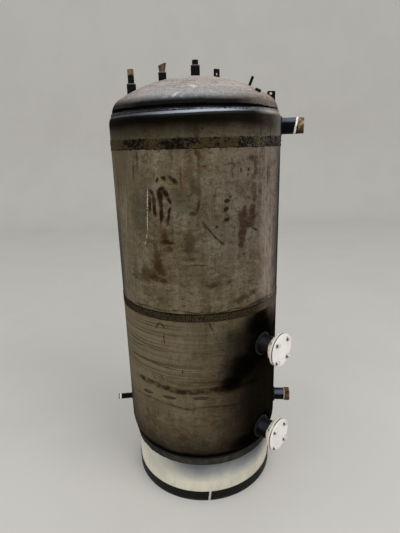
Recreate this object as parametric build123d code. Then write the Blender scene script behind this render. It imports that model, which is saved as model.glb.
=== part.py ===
from build123d import *
from math import asin, cos, degrees, radians, sin, sqrt
import os

# Hot water calorifier: a rolled steel shell with two dished ends on a round foot skirt,
# two blanked flange nozzles, three side nipples and a row of fittings on the dome.
# Millimetres, +Z up, origin on the vessel's axis at floor level, the photographed side at -Y.

os.makedirs("parts", exist_ok=True)

# Vessel
shell_r = 375.0
wall = 6.0
course_joint_z = 967.0
shoulder_z = 1738.0
shoulder_bend_r = 58.0
lip_rise = 36.0

# Top dished end
dome_step = 3.0
dome_flange_h = 6.0
dome_knuckle_r = 67.0
dome_crown_r = 630.0

# Bottom dished end
bottom_tangent_z = 325.0
bottom_flange_h = 12.0
bottom_knuckle_r = 150.0
bottom_crown_r = 600.0

# Weld bead between the dome and the rolled lip of the shell
bead_h = 6.0
bead_bulge = 2.5

# Foot skirt and the rubber channel pressed on its lower edge
skirt_inset = 25.0
skirt_wall = 6.0
trim_h = 50.0
trim_t = 3.0
trim_gap_w = 11.0
trim_gap_azimuth = 3.3
trim_gap_lean = 7.0

# Strips wrapped round the shell
top_band_drop = 101.0
top_band_h = 39.0
top_band_t = 1.0
middle_band_lap = 18.0
middle_band_h = 37.0
middle_band_t = 1.5
foam_drop = 113.0
foam_h = 45.0
foam_t = 4.0
band_clearance = 0.1

# Flanged nozzles with blind covers
nozzle_azimuth = 47.5
upper_nozzle_z = 783.0
lower_nozzle_z = 343.0
neck_r = 44.45
neck_wall = 4.0
nozzle_out = 103.0
cover_t = 8.0
gasket_t = 2.0
flange_t = 10.0
flange_r = 74.5
gasket_r = 72.5
pitch_circle_r = 60.0
bolt_count = 4
bolt_r = 6.0
bolt_clearance = 0.75
nut_af = 19.0
nut_h = 10.0
thread_end = 3.0
neck_recess = 3.0
hub_weld_w = 4.0
hub_weld_h = 9.0
edge_bevel = 1.5
root_weld_w = 7.0
root_weld_h = 8.0

# Side nipples set on the shell
set_on_clearance = 1.0
right_nipple_azimuth = 85.0
right_nipple_z = 370.0
right_nipple_r = 30.15
right_nipple_wall = 3.65
right_nipple_out = 83.0
collar_r = 34.0
collar_h = 25.0
collar_seat = 13.0
upper_nipple_azimuth = 78.0
upper_nipple_drop = 21.0
upper_nipple_r = 33.5
upper_nipple_wall = 3.65
upper_nipple_out = 94.0
left_stub_azimuth = -84.0
left_stub_z = 388.0
left_stub_r = 13.45
left_stub_wall = 2.6
left_stub_out = 71.0
stub_weld_w = 4.0
stub_weld_h = 6.0

# Fittings on the dome, with how far the outer ones stand in from its rim
left_socket_inset = 90.5
left_socket_front = 20.0
left_socket_r = 19.5
left_socket_h = 38.5
dome_nipple_out = 57.0
middle_socket_left = 135.0
middle_socket_front = 10.0
middle_socket_r = 17.0
middle_socket_h = 37.0
bung_foot_r = 12.0
bung_head_r = 18.5
bung_low_side_h = 22.0
bung_high_side_h = 35.5
centre_socket_right = 6.5
centre_socket_r = 19.5
centre_socket_h = 47.5
centre_plug_r = 11.5
centre_plug_h = 20.0
plug_shank_r = 12.0
plug_shank_h = 15.0
near_lug_right = 98.0
near_lug_w = 28.0
near_lug_h = 38.0
near_lug_corner_r = 3.0
near_lug_t = 6.0
near_eye_r = 5.5
near_eye_drop = 20.0
near_lug_turn = 35.0
far_lug_inset = 30.25
far_lug_front = 30.0
far_lug_w = 34.5
far_lug_h = 27.5
far_lug_root = 35.0
far_lug_corner_r = 5.0
far_lug_t = 8.0
far_eye_r = 6.0
far_eye_left = 1.5
far_eye_drop = 10.0
vent_inset = 126.0
vent_front = 40.0
vent_r = 6.0
vent_len = 40.5
boss_inset = 111.5
boss_front = 190.0
boss_r = 12.0
boss_len = 8.0

# How far a cutting tool runs past what it cuts
overrun = 20.0

# Derived sizes
shell_inner_r = shell_r - wall
bottom_seam_z = bottom_tangent_z + bottom_flange_h
lip_z = shoulder_z + lip_rise
top_band_z = shoulder_z - top_band_drop
middle_band_z = course_joint_z - middle_band_lap
foam_z = bottom_tangent_z - foam_drop
upper_nipple_z = shoulder_z - upper_nipple_drop
lip_reach = sqrt(shoulder_bend_r * shoulder_bend_r - lip_rise * lip_rise)
lip_r = shell_r - shoulder_bend_r + lip_reach
dome_rim_r = lip_r - dome_step
skirt_r = shell_r - skirt_inset
cover_face_d = shell_r + nozzle_out
left_socket_at = (left_socket_inset - dome_rim_r, -left_socket_front)
middle_socket_at = (-middle_socket_left, -middle_socket_front)
centre_socket_at = (centre_socket_right, 0.0)
near_lug_at = (near_lug_right, 0.0)
far_lug_at = (dome_rim_r - far_lug_inset, -far_lug_front)
vent_at = (dome_rim_r - vent_inset, -vent_front)
boss_at = (dome_rim_r - boss_inset, -boss_front)
dome_tangent_z = lip_z + dome_flange_h
bolt_hole_r = bolt_r + bolt_clearance
cover_back_d = cover_face_d - cover_t
flange_face_d = cover_back_d - gasket_t
flange_back_d = flange_face_d - flange_t
neck_end_d = flange_face_d - neck_recess
nut_end_d = flange_back_d - nut_h
right_nipple_bore_r = right_nipple_r - right_nipple_wall
upper_nipple_bore_r = upper_nipple_r - upper_nipple_wall
left_stub_bore_r = left_stub_r - left_stub_wall
neck_bore_r = neck_r - neck_wall


def dished_solid(rim_r, flange_h, knuckle_r, crown_r):
    """Solid torispherical cap on a straight flange, tangent plane at z = 0."""
    span = crown_r - knuckle_r
    offset = rim_r - knuckle_r
    drop = sqrt(span * span - offset * offset)
    lean = degrees(asin(offset / span))
    line = Line((0, -flange_h), (rim_r, -flange_h))
    line += Line((rim_r, -flange_h), (rim_r, 0))
    line += CenterArc((offset, 0), knuckle_r, 0, 90 - lean)
    line += CenterArc((0, -drop), crown_r, 90 - lean, lean)
    line += Line((0, crown_r - drop), (0, -flange_h))
    return revolve(Plane.XZ * make_face(line), Axis.Z)


def dome_height(rim_r, knuckle_r, crown_r):
    """Height of the apex above the tangent plane."""
    span = crown_r - knuckle_r
    offset = rim_r - knuckle_r
    return crown_r - sqrt(span * span - offset * offset)


def dome_top_at(x, y):
    """Height of the dome's crown over a point in plan."""
    apex = dome_tangent_z + dome_height(dome_rim_r, dome_knuckle_r, dome_crown_r)
    reach = x * x + y * y
    return apex - dome_crown_r + sqrt(dome_crown_r * dome_crown_r - reach)


def ring(outer_r, inner_r, low, high):
    """Upright ring between two heights."""
    body = Cylinder(outer_r, high - low) - Cylinder(inner_r, high - low)
    return Pos(0, 0, (low + high) / 2) * body


def rod(radius, low, high):
    """Upright cylinder between two heights."""
    return Pos(0, 0, (low + high) / 2) * Cylinder(radius, high - low)


def radial(azimuth, height):
    """Placement whose local Z runs straight out of the shell."""
    turn = radians(azimuth)
    out = (sin(turn), -cos(turn), 0)
    side = (cos(turn), sin(turn), 0)
    return Plane(origin=(0, 0, height), x_dir=side, z_dir=out).location


def crown_normal(at):
    """Placement on the dome whose local Z stands square to the crown."""
    x, y = at
    height = dome_top_at(x, y)
    rise = sqrt(dome_crown_r * dome_crown_r - x * x - y * y)
    return Plane(origin=(x, y, height), x_dir=(rise, 0, -x), z_dir=(x, y, rise)).location


def over_dome(at):
    """Upright placement over a point of the dome."""
    return Pos(at[0], at[1], dome_top_at(at[0], at[1]))


def save(shape, name):
    """Write one node."""
    shape.label = name
    export_step(shape, "parts/" + name + ".step")


# Solid forms of the vessel, outside and inside
bottom_outer = mirror(
    dished_solid(shell_r, bottom_flange_h, bottom_knuckle_r, bottom_crown_r), about=Plane.XY
)
bottom_inner = mirror(
    dished_solid(shell_inner_r, bottom_flange_h, bottom_knuckle_r - wall, bottom_crown_r - wall),
    about=Plane.XY,
)
bottom_outer = Pos(0, 0, bottom_tangent_z) * bottom_outer
bottom_inner = Pos(0, 0, bottom_tangent_z) * bottom_inner
dome_outer = Pos(0, 0, dome_tangent_z) * dished_solid(
    dome_rim_r, dome_flange_h, dome_knuckle_r, dome_crown_r
)
dome_inner = Pos(0, 0, dome_tangent_z) * dished_solid(
    dome_rim_r - wall, dome_flange_h, dome_knuckle_r - wall, dome_crown_r - wall
)
barrel_outer = rod(shell_r, bottom_seam_z, shoulder_z)
vessel_outer = barrel_outer + bottom_outer
vessel_inner = rod(shell_inner_r, bottom_seam_z, shoulder_z) + bottom_inner

# Holes through the wall, one tool for each branch
neck_holes = [
    radial(nozzle_azimuth, upper_nozzle_z) * rod(neck_r, 0, cover_face_d),
    radial(nozzle_azimuth, lower_nozzle_z) * rod(neck_r, 0, cover_face_d),
]
nipple_holes = [
    radial(right_nipple_azimuth, right_nipple_z)
    * rod(right_nipple_bore_r + set_on_clearance, 0, shell_r + overrun),
    radial(upper_nipple_azimuth, upper_nipple_z)
    * rod(upper_nipple_bore_r + set_on_clearance, 0, shell_r + overrun),
    radial(left_stub_azimuth, left_stub_z)
    * rod(left_stub_bore_r + set_on_clearance, 0, shell_r + overrun),
]
shell_holes = neck_holes + nipple_holes

# Upper course, with its top edge rolled in to a lip
bend_centre = (shell_r - shoulder_bend_r, shoulder_z)
outer_turn = degrees(asin(lip_rise / shoulder_bend_r))
inner_turn = degrees(asin(lip_rise / (shoulder_bend_r - wall)))
outer_bend = CenterArc(bend_centre, shoulder_bend_r, 0, outer_turn)
inner_bend = CenterArc(bend_centre, shoulder_bend_r - wall, 0, inner_turn)
course_line = Line((shell_inner_r, course_joint_z), (shell_r, course_joint_z))
course_line += Line((shell_r, course_joint_z), (shell_r, shoulder_z))
course_line += outer_bend
course_line += Line(outer_bend @ 1, inner_bend @ 1)
course_line += inner_bend
course_line += Line((shell_inner_r, shoulder_z), (shell_inner_r, course_joint_z))
upper_shell = revolve(Plane.XZ * make_face(course_line), Axis.Z)
shoulder_line = Line((0, shoulder_z), (shell_r, shoulder_z))
shoulder_line += outer_bend
shoulder_line += Line(outer_bend @ 1, (0, lip_z))
shoulder_line += Line((0, lip_z), (0, shoulder_z))
shoulder_outer = revolve(Plane.XZ * make_face(shoulder_line), Axis.Z)
vessel_outer = vessel_outer + shoulder_outer
upper_shell = upper_shell - shell_holes
save(upper_shell, "upper_shell")

# Lower course
lower_shell = ring(shell_r, shell_inner_r, bottom_seam_z, course_joint_z) - shell_holes
save(lower_shell, "lower_shell")

# Dished ends
bottom_end = bottom_outer - bottom_inner - shell_holes
save(bottom_end, "bottom_dished_end")
dome_hole_r = left_stub_bore_r + set_on_clearance
dome_hole = over_dome(left_socket_at) * rod(dome_hole_r, -shell_r / 2, overrun)
top_end = dome_outer - dome_inner - dome_hole
save(top_end, "top_dished_end")

# Weld bead in the groove between dome and lip
bead_foot = (lip_r, lip_z)
bead_top = (dome_rim_r, lip_z + bead_h)
bead_crest = (lip_r + bead_bulge / 2, lip_z + bead_h / 2)
bead_line = Line((dome_rim_r, lip_z), bead_foot)
bead_line += ThreePointArc(bead_foot, bead_crest, bead_top)
bead_line += Line(bead_top, (dome_rim_r, lip_z))
top_bead = revolve(Plane.XZ * make_face(bead_line), Axis.Z)
save(top_bead, "top_weld_bead")

# Foot skirt, trimmed to the underside of the bottom end
skirt_full = ring(skirt_r, skirt_r - skirt_wall, trim_t, bottom_tangent_z)
skirt = skirt_full - bottom_outer
skirt = skirt.solids().sort_by(Axis.Z)[0]
save(skirt, "foot_skirt")

# Rubber channel on the skirt's edge, open at one slanting gap
trim_inner_r = skirt_r - skirt_wall - trim_t
trim = ring(skirt_r + trim_t, trim_inner_r, 0, trim_h) - skirt_full
gap_cut = Rot(0, 0, 90 - trim_gap_lean) * Box(2 * trim_h, trim_gap_w, 2 * shell_r)
gap_tool = radial(trim_gap_azimuth, trim_h / 2) * Pos(0, 0, shell_r) * gap_cut
trim = trim - gap_tool
save(trim, "skirt_edge_trim")

# Strips round the shell
band_r = shell_r + band_clearance
top_band = ring(band_r + top_band_t, band_r, top_band_z, top_band_z + top_band_h)
save(top_band, "top_band_residue")
middle_band = ring(
    band_r + middle_band_t, band_r, middle_band_z, middle_band_z + middle_band_h
)
save(middle_band, "middle_band")
foam_cap = dished_solid(
    shell_r + foam_t, bottom_flange_h, bottom_knuckle_r + foam_t, bottom_crown_r + foam_t
)
foam_over = Pos(0, 0, bottom_tangent_z) * mirror(foam_cap, about=Plane.XY)
foam_over = foam_over + rod(skirt_r + foam_t, 0, bottom_tangent_z)
foam_level = rod(2 * shell_r, foam_z, foam_z + foam_h)
foam = (foam_over & foam_level) - bottom_outer - rod(skirt_r, 0, bottom_tangent_z)
save(foam, "lower_foam_strip")


def bolt_spots():
    """Bolt positions on the flange, astride its centre lines."""
    return PolarLocations(pitch_circle_r, bolt_count, start_angle=180 / bolt_count)


def bolt_holes(low, high):
    """Cutting tools for the flange bolt holes."""
    return [spot * rod(bolt_hole_r, low, high) for spot in bolt_spots()]


def hexagon(across_flats, low, high):
    """Hexagonal prism between two heights."""
    prism = extrude(RegularPolygon(across_flats / 2, 6, major_radius=False), high - low)
    return Pos(0, 0, low) * prism


def front_nut():
    """Hexagon nut whose outer corners are turned down to a dome."""
    nut = hexagon(nut_af, cover_face_d, cover_face_d + nut_h)
    return nut & (Pos(0, 0, cover_face_d + nut_h - nut_af) * Sphere(nut_af))


def cover_bolt():
    """Stud through cover, gasket and flange, with a nut at each end."""
    stud = rod(bolt_r, nut_end_d - thread_end, cover_face_d + nut_h + thread_end)
    return stud + front_nut() + hexagon(nut_af, nut_end_d, flange_back_d)


def root_weld(place, pipe_r, width, height):
    """Fillet weld round a branch where it meets the shell."""
    foot_d = shell_r - width
    cone = Cone(pipe_r + 2 * width, pipe_r, 2 * width + height)
    cone = Pos(0, 0, foot_d + width + height / 2) * cone
    weld = cone - rod(pipe_r, 0, shell_r + 2 * overrun)
    weld = place * weld - vessel_outer
    return weld.solids().sort_by(SortBy.VOLUME)[-1]


def outer_branch(pipe):
    """Keep the piece of a branch pipe that stands outside the vessel."""
    return pipe.solids().sort_by(SortBy.DISTANCE)[-1]


# The two blanked nozzles
for level, height in (("upper", upper_nozzle_z), ("lower", lower_nozzle_z)):
    place = radial(nozzle_azimuth, height)
    neck = place * ring(neck_r, neck_bore_r, shell_inner_r / 2, neck_end_d) - vessel_inner
    save(outer_branch(neck), level + "_nozzle_neck")
    weld = root_weld(place, neck_r, root_weld_w, root_weld_h)
    save(weld, level + "_nozzle_root_weld")
    flange = ring(flange_r, neck_r, flange_back_d, flange_face_d)
    hub = Pos(0, 0, flange_back_d - hub_weld_h / 2) * Cone(
        neck_r, neck_r + hub_weld_w, hub_weld_h
    )
    hub = hub - rod(neck_r, 0, cover_face_d)
    flange = flange + hub - bolt_holes(flange_back_d, flange_face_d)
    save(place * flange, level + "_nozzle_flange")
    gasket = ring(gasket_r, neck_r, flange_face_d, cover_back_d)
    gasket = gasket - bolt_holes(flange_face_d, cover_back_d)
    save(place * gasket, level + "_nozzle_gasket")
    cover = rod(flange_r, cover_back_d, cover_face_d)
    rim_edges = cover.edges().filter_by(GeomType.CIRCLE)
    cover = chamfer(rim_edges, edge_bevel)
    cover = cover - bolt_holes(cover_back_d, cover_face_d)
    save(place * cover, level + "_blind_cover")
    bolts = Compound([place * spot * cover_bolt() for spot in bolt_spots()])
    save(bolts, level + "_cover_bolts")

# Right-hand lower nipple with a collar screwed on its end
place = radial(right_nipple_azimuth, right_nipple_z)
right_end_d = shell_r + right_nipple_out
right_pipe_end_d = right_end_d - collar_h + collar_seat
pipe = ring(right_nipple_r, right_nipple_bore_r, shell_r / 2, right_pipe_end_d)
save(outer_branch(place * pipe - vessel_outer), "right_lower_nipple")
collar = ring(collar_r, right_nipple_bore_r, right_end_d - collar_h, right_end_d)
collar_edges = collar.edges().filter_by(GeomType.CIRCLE).sort_by(Axis.Z)[-2:]
collar = chamfer(collar_edges, edge_bevel)
collar = collar - rod(right_nipple_r, right_end_d - collar_h, right_pipe_end_d)
save(place * collar, "right_nipple_collar")
save(root_weld(place, right_nipple_r, root_weld_w, root_weld_h), "right_nipple_root_weld")

# Upper right nipple
place = radial(upper_nipple_azimuth, upper_nipple_z)
upper_end_d = shell_r + upper_nipple_out
pipe = ring(upper_nipple_r, upper_nipple_bore_r, shell_r / 2, upper_end_d)
save(outer_branch(place * pipe - vessel_outer), "upper_right_nipple")
save(root_weld(place, upper_nipple_r, stub_weld_w, stub_weld_h), "upper_nipple_root_weld")

# Left stub
place = radial(left_stub_azimuth, left_stub_z)
pipe = ring(left_stub_r, left_stub_bore_r, shell_r / 2, shell_r + left_stub_out)
save(outer_branch(place * pipe - vessel_outer), "left_stub")
save(root_weld(place, left_stub_r, stub_weld_w, stub_weld_h), "left_stub_root_weld")

# Left dome socket with an open nipple standing in it
spot = over_dome(left_socket_at)
seat_z = left_socket_h - plug_shank_h
socket = ring(left_socket_r, left_stub_bore_r, -overrun, left_socket_h)
socket = socket - rod(left_stub_r, seat_z, left_socket_h)
socket = spot * socket - dome_outer
save(socket, "left_dome_socket")
nipple = ring(left_stub_r, left_stub_bore_r, seat_z, left_socket_h + dome_nipple_out)
save(spot * nipple, "left_dome_nipple")

# Middle dome socket closed by a flared bung, its head cut on a slant
spot = over_dome(middle_socket_at)
socket = ring(middle_socket_r, plug_shank_r, -overrun, middle_socket_h)
save(spot * socket - dome_outer, "middle_dome_socket")
bung_foot_z = middle_socket_h
bung = Pos(0, 0, bung_foot_z + bung_high_side_h / 2) * Cone(
    bung_foot_r, bung_head_r, bung_high_side_h
)
low_corner = (-bung_head_r, bung_foot_z + bung_low_side_h)
high_corner = (bung_head_r, bung_foot_z + bung_high_side_h)
slant = Polygon(
    low_corner, high_corner, (bung_head_r, 2 * high_corner[1]), (-bung_head_r, 2 * high_corner[1]),
    align=None,
)
bung = bung - extrude(Plane.XZ * slant, bung_head_r, both=True)
bung = bung + rod(plug_shank_r, bung_foot_z - plug_shank_h, bung_foot_z)
save(spot * bung, "middle_socket_bung")

# Centre dome socket closed by a plug
spot = over_dome(centre_socket_at)
socket = ring(centre_socket_r, plug_shank_r, -overrun, centre_socket_h)
save(spot * socket - dome_outer, "centre_dome_socket")
plug = hexagon(2 * centre_plug_r, centre_socket_h, centre_socket_h + centre_plug_h)
plug = plug + rod(plug_shank_r, centre_socket_h - plug_shank_h, centre_socket_h)
save(spot * plug, "centre_socket_plug")

# Square-shouldered lug right of the centre, turned half away
near_plate = Pos(0, (near_lug_h - overrun) / 2) * Rectangle(near_lug_w, near_lug_h + overrun)
near_plate = fillet(near_plate.vertices().group_by(Axis.Y)[-1], near_lug_corner_r)
near_plate = near_plate - Pos(0, near_lug_h - near_eye_drop) * Circle(near_eye_r)
near_lug = extrude(Plane.XZ * near_plate, near_lug_t / 2, both=True)
near_lug = over_dome(near_lug_at) * Rot(0, 0, near_lug_turn) * near_lug - dome_outer
save(near_lug, "near_lifting_lug")

# Square-shouldered lug near the rim, pierced left of its middle
far_plate = Pos(0, (far_lug_h - far_lug_root) / 2) * Rectangle(
    far_lug_w, far_lug_h + far_lug_root
)
far_plate = fillet(far_plate.vertices().group_by(Axis.Y)[-1], far_lug_corner_r)
far_plate = far_plate - Pos(-far_eye_left, far_lug_h - far_eye_drop) * Circle(far_eye_r)
far_lug = over_dome(far_lug_at) * extrude(Plane.XZ * far_plate, far_lug_t / 2, both=True)
save(far_lug - dome_outer, "far_lifting_lug")

# Small closed fittings standing square to the dome
vent = crown_normal(vent_at) * rod(vent_r, -overrun, vent_len) - dome_outer
save(vent, "capped_vent_stub")
boss = crown_normal(boss_at) * rod(boss_r, -overrun, boss_len)
boss = boss - dome_outer
save(boss, "small_dome_boss")
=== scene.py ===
import math
import random

import bmesh
import bpy
from bpy.props import FloatProperty, FloatVectorProperty, IntProperty, PointerProperty
from mathutils import Matrix, Vector


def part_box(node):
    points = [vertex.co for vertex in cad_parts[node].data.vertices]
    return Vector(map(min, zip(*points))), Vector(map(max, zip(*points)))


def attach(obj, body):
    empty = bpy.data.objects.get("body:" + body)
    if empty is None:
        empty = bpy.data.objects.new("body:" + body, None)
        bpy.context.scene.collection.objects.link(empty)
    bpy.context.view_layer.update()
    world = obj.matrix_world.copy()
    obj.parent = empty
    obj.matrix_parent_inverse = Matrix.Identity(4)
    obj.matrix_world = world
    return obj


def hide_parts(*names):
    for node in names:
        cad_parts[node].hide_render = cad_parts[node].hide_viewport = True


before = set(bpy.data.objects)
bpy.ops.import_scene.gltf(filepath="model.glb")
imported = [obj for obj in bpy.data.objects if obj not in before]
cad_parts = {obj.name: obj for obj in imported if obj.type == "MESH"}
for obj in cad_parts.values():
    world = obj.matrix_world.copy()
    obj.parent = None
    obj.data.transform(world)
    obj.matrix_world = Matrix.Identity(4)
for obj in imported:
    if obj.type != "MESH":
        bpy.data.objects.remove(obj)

bl_info = {
    "name": "Hot water calorifier",
    "version": (1, 0, 0),
    "blender": (4, 5, 0),
    "location": "3D View > Sidebar > Calorifier",
    "description": "Dresses the packed model of a bare steel hot water calorifier",
    "category": "Object",
}

MM = 0.001
DEGREE = math.pi / 180
BODY = "root"
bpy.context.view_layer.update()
SHELL_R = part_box("lower_shell")[1].x
COURSE_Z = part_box("lower_shell")[1].z
SKIRT_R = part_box("foot_skirt")[1].x
WELD_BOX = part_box("top_weld_bead")
TOP_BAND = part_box("top_band_residue")
MIDDLE_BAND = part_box("middle_band")
FOAM_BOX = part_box("lower_foam_strip")
# Cover bolts, and the faces they hold, measured out from the vessel's axis
COVER_FACE = 478 * MM
FLANGE_BACK = 458 * MM
BOLT_CIRCLE = 60 * MM
NUT_HEIGHT = 9.8 * MM
STUD_R = 6 * MM
STUD_PITCH = 1.75 * MM
STUD_END = 13 * MM
# Level pipes: azimuth in degrees, then height, radius and root weld width in millimetres
PIPES = {
    "upper_nozzle": (47.5, 783, 44.45, 8.0),
    "lower_nozzle": (47.5, 343, 44.45, 8.0),
    "right_nipple": (85.0, 370, 30.15, 7.0),
    "upper_nipple": (78.0, 1717, 33.5, 4.5),
    "left_stub": (-84.0, 388, 13.45, 4.0),
}
DOME_SOCKETS = ("left_dome_socket", "middle_dome_socket", "centre_dome_socket")
NOZZLE_AZIMUTH = PIPES["upper_nozzle"][0]
NOZZLES = {level: PIPES[level + "_nozzle"][1] * MM for level in ("upper", "lower")}


# Sizes and colours that a user would change


def screen(red, green, blue):
    """Linear colour from screen values of 0 to 255."""

    def linear(value):
        share = value / 255
        return share / 12.92 if share <= 0.04045 else ((share + 0.055) / 1.055) ** 2.4

    return (linear(red), linear(green), linear(blue), 1.0)


def length(name, description, default):
    """A property for a length in metres."""
    return FloatProperty(
        name=name, description=description, default=default, min=0, unit="LENGTH"
    )


def angle(name, description, default):
    """A property for an angle given in degrees."""
    return FloatProperty(
        name=name, description=description, default=default * DEGREE, unit="ROTATION"
    )


def colour(name, description, *tone):
    """A property for a surface colour given in screen values."""
    return FloatVectorProperty(
        name=name, description=description, size=4, subtype="COLOR", min=0, max=1,
        default=screen(*tone),
    )


class CalorifierSizes(bpy.types.PropertyGroup):
    """Sizes of the pieces that dress the vessel."""

    weld_grain: length("Weld ripple", "Spacing of the ripples on a weld bead", 6 * MM)
    weld_rough: length("Weld roughness", "Depth of the ripples on a weld bead", 2.4 * MM)
    band_rough: length("Residue depth", "Height of the lumps left by the top strip", 1.0 * MM)
    torn_depth: length("Torn depth", "Raggedness of the foam strip's lower edge", 16 * MM)
    thread_pitch: length("Thread pitch", "Pitch of the pipe threads", 2.31 * MM)
    bolt_size: length("Bolt size", "Width across the flats of the cover nuts", 19 * MM)
    tape_width: length("Tape width", "Width of the tape on the upper nipple", 8 * MM)
    crumbs: IntProperty(
        name="Crumbs", description="Crumbs left along the top strip", default=420, min=0
    )


class CalorifierColours(bpy.types.PropertyGroup):
    """Main colours of the vessel."""

    plate: colour("Plate", "Bare plate of the shell", 97, 87, 66)
    plate_pale: colour("Worn plate", "Paler, rubbed plate", 125, 117, 102)
    plate_dark: colour("Dull plate", "Darker, greasy plate", 60, 48, 33)
    rust: colour("Rust", "Rust and dried stains", 48, 31, 23)
    # Soot colour, also laid for the painted shadow line above the foam strip
    soot_and_shadow: colour("Soot", "Burnt paint round the welds", 3, 3, 2)
    dome: colour("Dome", "Rubbed plate of the dome", 174, 165, 158)
    skirt: colour("Skirt", "Paint of the foot skirt", 214, 208, 190)
    cover: colour("Covers", "Paint of the blind covers", 238, 234, 230)
    floor: colour("Floor", "Studio floor and backdrop", 205, 203, 197)


class CalorifierStage(bpy.types.PropertyGroup):
    """Camera and light."""

    camera_away: length("Camera distance", "Distance of the camera from the axis", 1.90592)
    camera_up: length("Camera height", "Height of the camera over the floor", 1.65002)
    pitch: angle("Pitch", "How far the camera looks down", 16.7199)
    roll: angle("Roll", "Tilt of the camera", -1.5887)
    yaw: angle("Yaw", "Turn of the camera", 0.1036)
    lens: FloatProperty(
        name="Lens", description="Focal length for a 36 mm sensor", default=27.357, unit="CAMERA"
    )
    sky: FloatProperty(
        name="Sky", description="Strength of the even studio light", default=0.72, min=0
    )
    key: FloatProperty(
        name="Key", description="Power of the large lamp", default=95, min=0, unit="POWER"
    )


# Places on the vessel


def out_from_shell(azimuth, height, distance=0.0):
    """Matrix whose Z runs straight out of the shell, with Y upright."""
    turn = azimuth * DEGREE
    outward = Vector((math.sin(turn), -math.cos(turn), 0))
    sideways = Vector((math.cos(turn), math.sin(turn), 0))
    place = Matrix((sideways, outward.cross(sideways), outward)).transposed().to_4x4()
    place.translation = outward * distance + Vector((0, 0, height))
    return place


def out_along(pipe):
    """Matrix whose Z runs out along a level pipe, from the vessel's axis."""
    return out_from_shell(PIPES[pipe][0], PIPES[pipe][1] * MM)


def centre_of(node):
    """Centre of a CAD node's box."""
    low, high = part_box(node)
    return (low + high) / 2


# Modelling steps


def clear_selection():
    """Leave nothing selected."""
    bpy.ops.object.select_all(action="DESELECT")


def only(piece):
    """Select one piece alone and make it the active one."""
    clear_selection()
    piece.select_set(True)
    bpy.context.view_layer.objects.active = piece


def name_piece(name):
    """Name the primitive that was just added."""
    piece = bpy.context.object
    piece.name = name
    piece.data.name = name
    return piece


def edit(piece):
    """Go into edit mode on one piece with nothing selected in it."""
    only(piece)
    bpy.ops.object.mode_set(mode="EDIT")
    bpy.ops.mesh.select_all(action="DESELECT")


def leave_edit():
    """Go back to object mode."""
    bpy.ops.object.mode_set(mode="OBJECT")


def pick(piece, kind, test):
    """Select the vertices or edges whose corners all pass the test."""
    bpy.ops.mesh.select_mode(type={"verts": "VERT", "edges": "EDGE"}[kind])
    bpy.ops.mesh.select_all(action="DESELECT")
    shape = bmesh.from_edit_mesh(piece.data)
    for part in getattr(shape, kind):
        corners = [part.co] if kind == "verts" else [corner.co for corner in part.verts]
        if test(corners):
            part.select_set(True)
    bmesh.update_edit_mesh(piece.data)


def settle(piece):
    """Put the piece's place into its mesh."""
    only(piece)
    bpy.ops.object.transform_apply(location=True, rotation=True, scale=True)


def put(piece, place):
    """Move a piece by a matrix and settle it there."""
    piece.matrix_world = place @ piece.matrix_world
    settle(piece)


def use(piece, kind, **settings):
    """Add one modifier and apply it."""
    bpy.context.view_layer.objects.active = piece
    modifier = piece.modifiers.new(kind.title(), kind)
    for name, value in settings.items():
        setattr(modifier, name, value)
    bpy.ops.object.modifier_apply(modifier=modifier.name)


def thicken(piece, thickness):
    """Give a wall its thickness, inwards."""
    use(piece, "SOLIDIFY", thickness=thickness, offset=-1, use_rim=True)


def ease(piece, width, degrees):
    """Round off the edges sharper than the angle."""
    use(piece, "BEVEL", width=width, segments=2, limit_method="ANGLE",
        angle_limit=degrees * DEGREE)


def roughen(piece, grain, depth, direction="NORMAL", group=""):
    """Push the surface in and out by a noise of that grain."""
    noise = bpy.data.textures.new(piece.name + "_noise", "CLOUDS")
    noise.noise_scale = grain
    use(piece, "DISPLACE", texture=noise, strength=depth, mid_level=0.5, direction=direction,
        texture_coords="LOCAL", vertex_group=group)
    bpy.data.textures.remove(noise)


def mark_group(piece, name, weigh):
    """Give a vertex group the weight that a rule returns for each point."""
    group = piece.vertex_groups.new(name=name)
    for vertex in piece.data.vertices:
        weight = weigh(vertex.co)
        if weight > 0:
            group.add([vertex.index], min(weight, 1.0), "REPLACE")
    return name


def smooth(piece, degrees):
    """Shade smooth, keeping edges sharper than the angle."""
    only(piece)
    bpy.ops.object.shade_smooth_by_angle(angle=degrees * DEGREE)


def join(name, pieces):
    """Join pieces into one."""
    clear_selection()
    for piece in pieces:
        piece.select_set(True)
    bpy.context.view_layer.objects.active = pieces[0]
    if len(pieces) > 1:
        bpy.ops.object.join()
    return name_piece(name)


def twin(piece):
    """A copy with a mesh of its own."""
    copy = piece.copy()
    copy.data = piece.data.copy()
    bpy.context.scene.collection.objects.link(copy)
    return copy


def paint(piece, material):
    """Give a piece one material."""
    piece.data.materials.clear()
    piece.data.materials.append(material)


def carry(piece, degrees, material, slot, *nodes):
    """Finish a piece, smoothed where degrees are given, riding on the vessel.

    It stands for the CAD nodes that are named.
    """
    if degrees:
        smooth(piece, degrees)
    settle(piece)
    paint(piece, material)
    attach(piece, BODY)
    if nodes:
        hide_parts(*nodes)


def add_wall(name, radius, low, high, segments, rows):
    """Open upright cylinder wall cut into level rows."""
    clear_selection()
    bpy.ops.mesh.primitive_cylinder_add(
        vertices=segments, radius=radius, depth=high - low, end_fill_type="NOTHING",
        location=(0, 0, (low + high) / 2),
    )
    wall = name_piece(name)
    if rows > 1:
        edit(wall)
        pick(wall, "edges", lambda ends: abs(ends[0].z - ends[1].z) > 1e-7)
        bpy.ops.mesh.subdivide(number_cuts=rows - 1)
        leave_edit()
    settle(wall)
    return wall


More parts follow.
